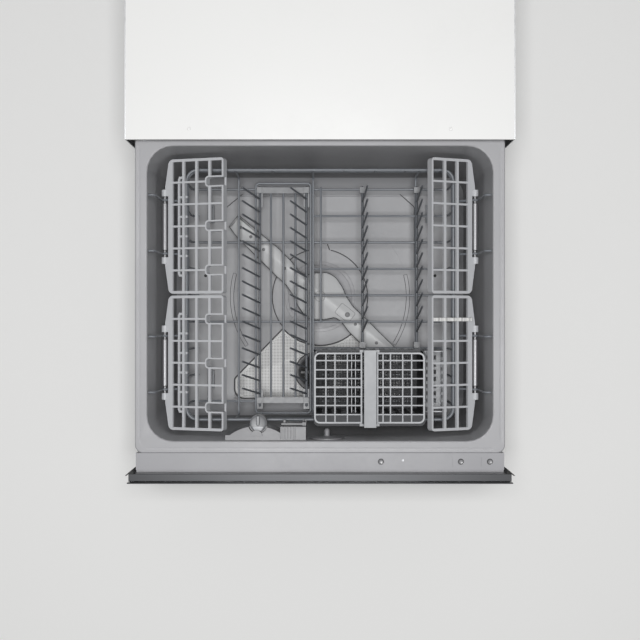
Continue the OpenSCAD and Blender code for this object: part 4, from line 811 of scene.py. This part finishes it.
# push buttons: dark collar round a lighter dished face
keys = {"power_button": 94.6, "select_button": 218.6, "start_button": 263.6}
keyShape = {"y": -260.75, "faceRadius": 3.3, "faceLow": 380.0,
            "profile": ((0, 380.2), (1.6, 380.22), (2.8, 380.35), (3.3, 380.5), (3.7, 380.78), (4.3, 380.8),
                        (4.7, 380.4), (4.7, 371.2), (6.3, 371.2), (6.3, 369.0), (0, 369.0))}
for node, x in keys.items():
    bm = bmesh.new()
    centre = spot(x, keyShape["y"], 0)
    spinProfile(bm, keyShape["profile"], centre)
    for face in bm.faces:
        place = face.calc_center_median()
        near = (place.xy - centre.xy).length < keyShape["faceRadius"] * mm
        face.material_index = 1 if near and place.z > keyShape["faceLow"] * mm else 0
    addPiece(plainName(node) + "Cap", node, bm, (node,), [finishes[slotOf[node]], keyFace])
print("buttons spun:", len(keys))

# rinse-aid cap with its fin and its lighter tab, and the vent cap with its peg
rinse = {"x": -97.0, "y": -203.2, "fin": (5.0, 15.0, 9.0), "finShift": 4.8, "finFoot": 357.3,
         "tab": 8.2, "tabShift": -4.4, "tabLow": 357.5, "tabTop": 361.5, "tabEdge": 0.8,
         "profile": ((0, 358.6), (9.5, 358.7), (11.4, 359.3), (12.4, 359.0), (13, 358.0), (13, 352.3),
                     (8.1, 352.3), (8.1, 356.4), (0, 356.4))}
bm = bmesh.new()
spinProfile(bm, rinse["profile"], spot(rinse["x"], rinse["y"], 0))
finPlace = spot(rinse["x"], rinse["y"] + rinse["finShift"], rinse["finFoot"] + rinse["fin"][2] / 2)
addBlock(bm, rinse["fin"], finPlace)
softenEdges(addPiece("rinseKnob", "rinse_cap", bm, ("rinse_cap",)), 1.4, 3)
tabY = rinse["y"] + rinse["tabShift"]
halfDisc = [place for place in discOutline(rinse["x"], tabY, rinse["tab"]) if place.y <= tabY]
addPiece("rinseTab", "rinse_cap", plateMesh([halfDisc], rinse["tabLow"], rinse["tabTop"], rinse["tabEdge"]),
         looks=[finishes["rack_plastic"]])
vent = {"x": 11.0, "y": -228.7, "z": 344.0,
        "profile": ((0, 17), (1.6, 16.7), (3.0, 15.8), (3.9, 14.4), (4.2, 12.8), (4.2, 5.4), (5.0, 4.9),
                    (12, 4.6), (20, 3.7), (26, 2.85), (28, 2.5), (28, 2.2), (24, 2.2), (24, -9.0), (0, -9.0))}
bm = bmesh.new()
intoWall = Matrix.Rotation(-math.pi / 2, 4, "X")
spinProfile(bm, vent["profile"], spot(vent["x"], vent["y"], vent["z"]), intoWall, 64)
addPiece("ventDome", "vent_cap", bm, ("vent_cap",))
print("caps spun")

# spray arm: flat blade with sloping edges, two-lobed round the hub, cut tips, ringed jets and a cover plate
arm = {"centre": (0.0, 0.05, 137.0), "turn": 142.0, "low": 1.0, "top": 13.5, "slope": 4.2,
       "half": ((199.3, 2.2), (174.5, 8.8), (117.7, 14.9), (86, 19), (57, 21.5), (37, 28), (21, 37),
                (0, 43.5), (-16, 40.5), (-32, 27), (-43, 13.5), (-57, 12.5), (-76, 17.9), (-106.5, 21.5),
                (-147, 22.8), (-198.8, 24.4)),
       "bends": (2, 8, 60, 60, 40, 30, 30, 24, 24, 24, 8, 10, 40, 60, 60, 2),
       "cover": (-52.0, -4.0, 30.0, 21.0), "coverBend": 3.0, "hub": 9.0, "line": 0.3,
       "dimple": (-57.0, -4.0), "dimpleShape": ((0, 0.2), (3.8, 0.25), (4.4, 0.05), (4.4, -2), (0, -2)),
       "jets": ((181.8, -9.4), (157.7, -7.4), (126.7, -3.6), (78, -0.4)),
       "jetShape": ((0, 0.15), (1.2, 0.2), (1.5, 0.6), (2.3, 0.6), (2.8, 0.05), (2.8, -2), (0, -2))}
armPlace = Matrix.Translation(spot(*arm["centre"])) @ Matrix.Rotation(math.radians(arm["turn"]), 4, "Z")


def onArm(x, y):
    return armPlace @ (Vector((x, y, arm["top"])) * mm)


outline = [Vector((sign * x, sign * y, 0)) for sign in (1, -1) for x, y in arm["half"]]
outline = roundCorners(outline, arm["bends"] * 2, True)
bm = plateMesh([outline], arm["low"], arm["top"], arm["slope"])
bmesh.ops.translate(bm, vec=(0, openShift * mm, 0), verts=bm.verts[:])
# sloping edge faces get the darker arm plastic as painted shade
for face in bm.faces:
    face.material_index = 0 if face.normal.z > facingUp else 1
bmesh.ops.transform(bm, matrix=armPlace, verts=bm.verts[:])
addPiece("armBlade", "spray_arm", bm, ("spray_arm",), [finishes[slotOf["spray_arm"]], armPaintedShadeAndSeams])
coverX, coverY, coverLong, coverWide = arm["cover"]
corners = [onArm(coverX + sideX * coverLong / 2, coverY + sideY * coverWide / 2)
           for sideX, sideY in ((-1, -1), (1, -1), (1, 1), (-1, 1))]
hubRing = [onArm(place.x, place.y) for place in discOutline(0, 0, arm["hub"])]
lines = [(corners, arm["line"], arm["coverBend"], True), (hubRing, arm["line"], 0, True)]
addPiece("armLines", "spray_arm", wireMesh(lines, 2), looks=[armPaintedShadeAndSeams])
bm = bmesh.new()
for sign in (1, -1):
    for x, y in arm["jets"]:
        spinProfile(bm, arm["jetShape"], onArm(sign * x, sign * y), steps=20)
spinProfile(bm, arm["dimpleShape"], onArm(*arm["dimple"]), steps=32)
addPiece("armJets", "spray_arm", bm, looks=[armPaintedShadeAndSeams])
print("spray arm finished")

# dark lines of painted shade in the shallow seams pressed in the tub floor and in the gap round the filter
# plate, and two dark studs
seams = {"z": 110.15, "line": 0.8, "plateInset": -1.0, "plateGap": 1.1, "round": 84.0,
         "roundArcs": ((-50, 77), (103, 221)), "neck": ((17, 82), (13, 93)),
         "panel": ((-165, 47.3), (-165, 157), (-162, 159.5), (-134.6, 182), (139.2, 182), (164.5, 159.5),
                   (166, 157), (166, 47.3)), "panelBend": 4.0,
         "slotRadius": 155.0, "slotWide": 3.0, "slots": ((-32.9, 14.5), (164.7, 213.7)), "fine": 0.45,
         "studs": ((-201.5, 37.0), (202.5, 37.0)), "studFoot": 110.0,
         "studShape": ((0, 1.0), (1.8, 0.9), (2.7, 0.2), (2.7, -1), (0, -1))}


def arcRun(radius, start, end, z, steps=40):
    turns = [math.radians(start + (end - start) * index / steps) for index in range(steps + 1)]
    return [spot(radius * math.cos(turn), middle + radius * math.sin(turn), z) for turn in turns]


seamZ, line = seams["z"], seams["line"]
runs = [(arcRun(seams["round"], start, end, seamZ), line, 0, False) for start, end in seams["roundArcs"]]
runs.append((atHeight(seams["panel"], seamZ), line, seams["panelBend"], False))
runs.append((atHeight(seams["neck"], seamZ), line, 0, False))
runs.append((atHeight(sieveOutline(seams["plateInset"]), seamZ), seams["plateGap"], 0, True))
for start, end in seams["slots"]:
    inner = arcRun(seams["slotRadius"] - seams["slotWide"], start, end, seamZ)
    outer = arcRun(seams["slotRadius"] + seams["slotWide"], end, start, seamZ)
    runs.append((inner + outer, seams["fine"], 0, True))
addPiece("paintedSeamShadeLines", "tub", wireMesh(runs, 2), looks=[seamPaintedShade])
bm = bmesh.new()
for x, y in seams["studs"]:
    spinProfile(bm, seams["studShape"], spot(x, y, seams["studFoot"]), steps=24)
addPiece("floorStuds", "tub", bm, looks=[rubber])
print("floor seams:", len(runs))

# screw heads and plugs that close the cabinet's fixing holes
screws = {"side": 298.5, "y": (-253.0, 215.0), "z": (50.0, 350.0),
          "topX": 200.0, "topY": -259.0, "top": 410.0, "plugDrop": 0.3,
          "head": ((0, 0.1), (1.1, 0.1), (1.2, 0.25), (2.2, 0.2), (2.45, -0.1), (2.45, -2.6), (0, -2.6))}
bm = bmesh.new()
for side in (-1, 1):
    for y in screws["y"]:
        for z in screws["z"]:
            spinProfile(bm, screws["head"], Vector((side * screws["side"], y, z)) * mm,
                        Matrix.Rotation(side * math.pi / 2, 4, "Y"), 24)
addPiece("sideScrews", "housing_top", bm, looks=[screwSteel], slotName="zinc_sheet")
bm = bmesh.new()
plug = [(radius, height - screws["plugDrop"]) for radius, height in screws["head"]]
for side in (-1, 1):
    spinProfile(bm, plug, Vector((side * screws["topX"], screws["topY"], screws["top"])) * mm, steps=24)
addPiece("topPlugs", "housing_top", bm, slotName="pale_top")
print("screws and plugs set")

# the tub keeps its shape; its inner floor gets a slightly darker copy of the tub plastic with more water
# marks, and its walls a lighter copy with painted shade towards the bottom
tubInside = {"x": 269.5, "y": 230.5, "floor": 128.0, "upright": 0.6}


def tubPart(face):
    place = face.calc_center_median() / mm
    if abs(place.x) > tubInside["x"] or abs(place.y + openShift) > tubInside["y"]:
        return 0
    if place.z < tubInside["floor"]:
        return 1
    return 2 if abs(face.normal.z) < tubInside["upright"] else 0


refinedCopy("tub", 0.0, [finishes["tub_plastic"], tubFloor, tubWallPaintedShade], tubPart)

# the other parts keep their shape and get fine rounded edges, in millimetres
roundedEdges = {
    "drawer_front": 0.5, "control_strip": 0.6, "cup_rack_left_back": 0.9, "cup_rack_left_front": 0.9,
    "cup_rack_right_back": 0.9, "cup_rack_right_front": 0.9, "rack_step_left_back": 0.7,
    "rack_step_left_front": 0.7, "rack_axles": 0.5, "cutlery_handle": 2.2, "cutlery_caddy": 0.4,
    "utensil_comb": 0.8, "dispenser_body": 1.2, "dispenser_flap": 0.5, "tine_clips": 0.6, "basket_feet": 0.5,
    "sump": 0.8, "lid_panel": 0.8, "lid_guides": 0.5, "lid_drives": 1.0, "front_gasket": 0.0,
    "housing_top": 0.3, "housing_side_left": 0.3, "housing_side_right": 0.3, "housing_back": 0.3,
    "housing_base": 0.3, "inlet_valve": 0.6, "wash_motor": 0.8, "drain_pump": 0.8, "lid_seal": 0.6}
for node, width in roundedEdges.items():
    refinedCopy(node, width)
print("edges rounded:", len(roundedEdges))
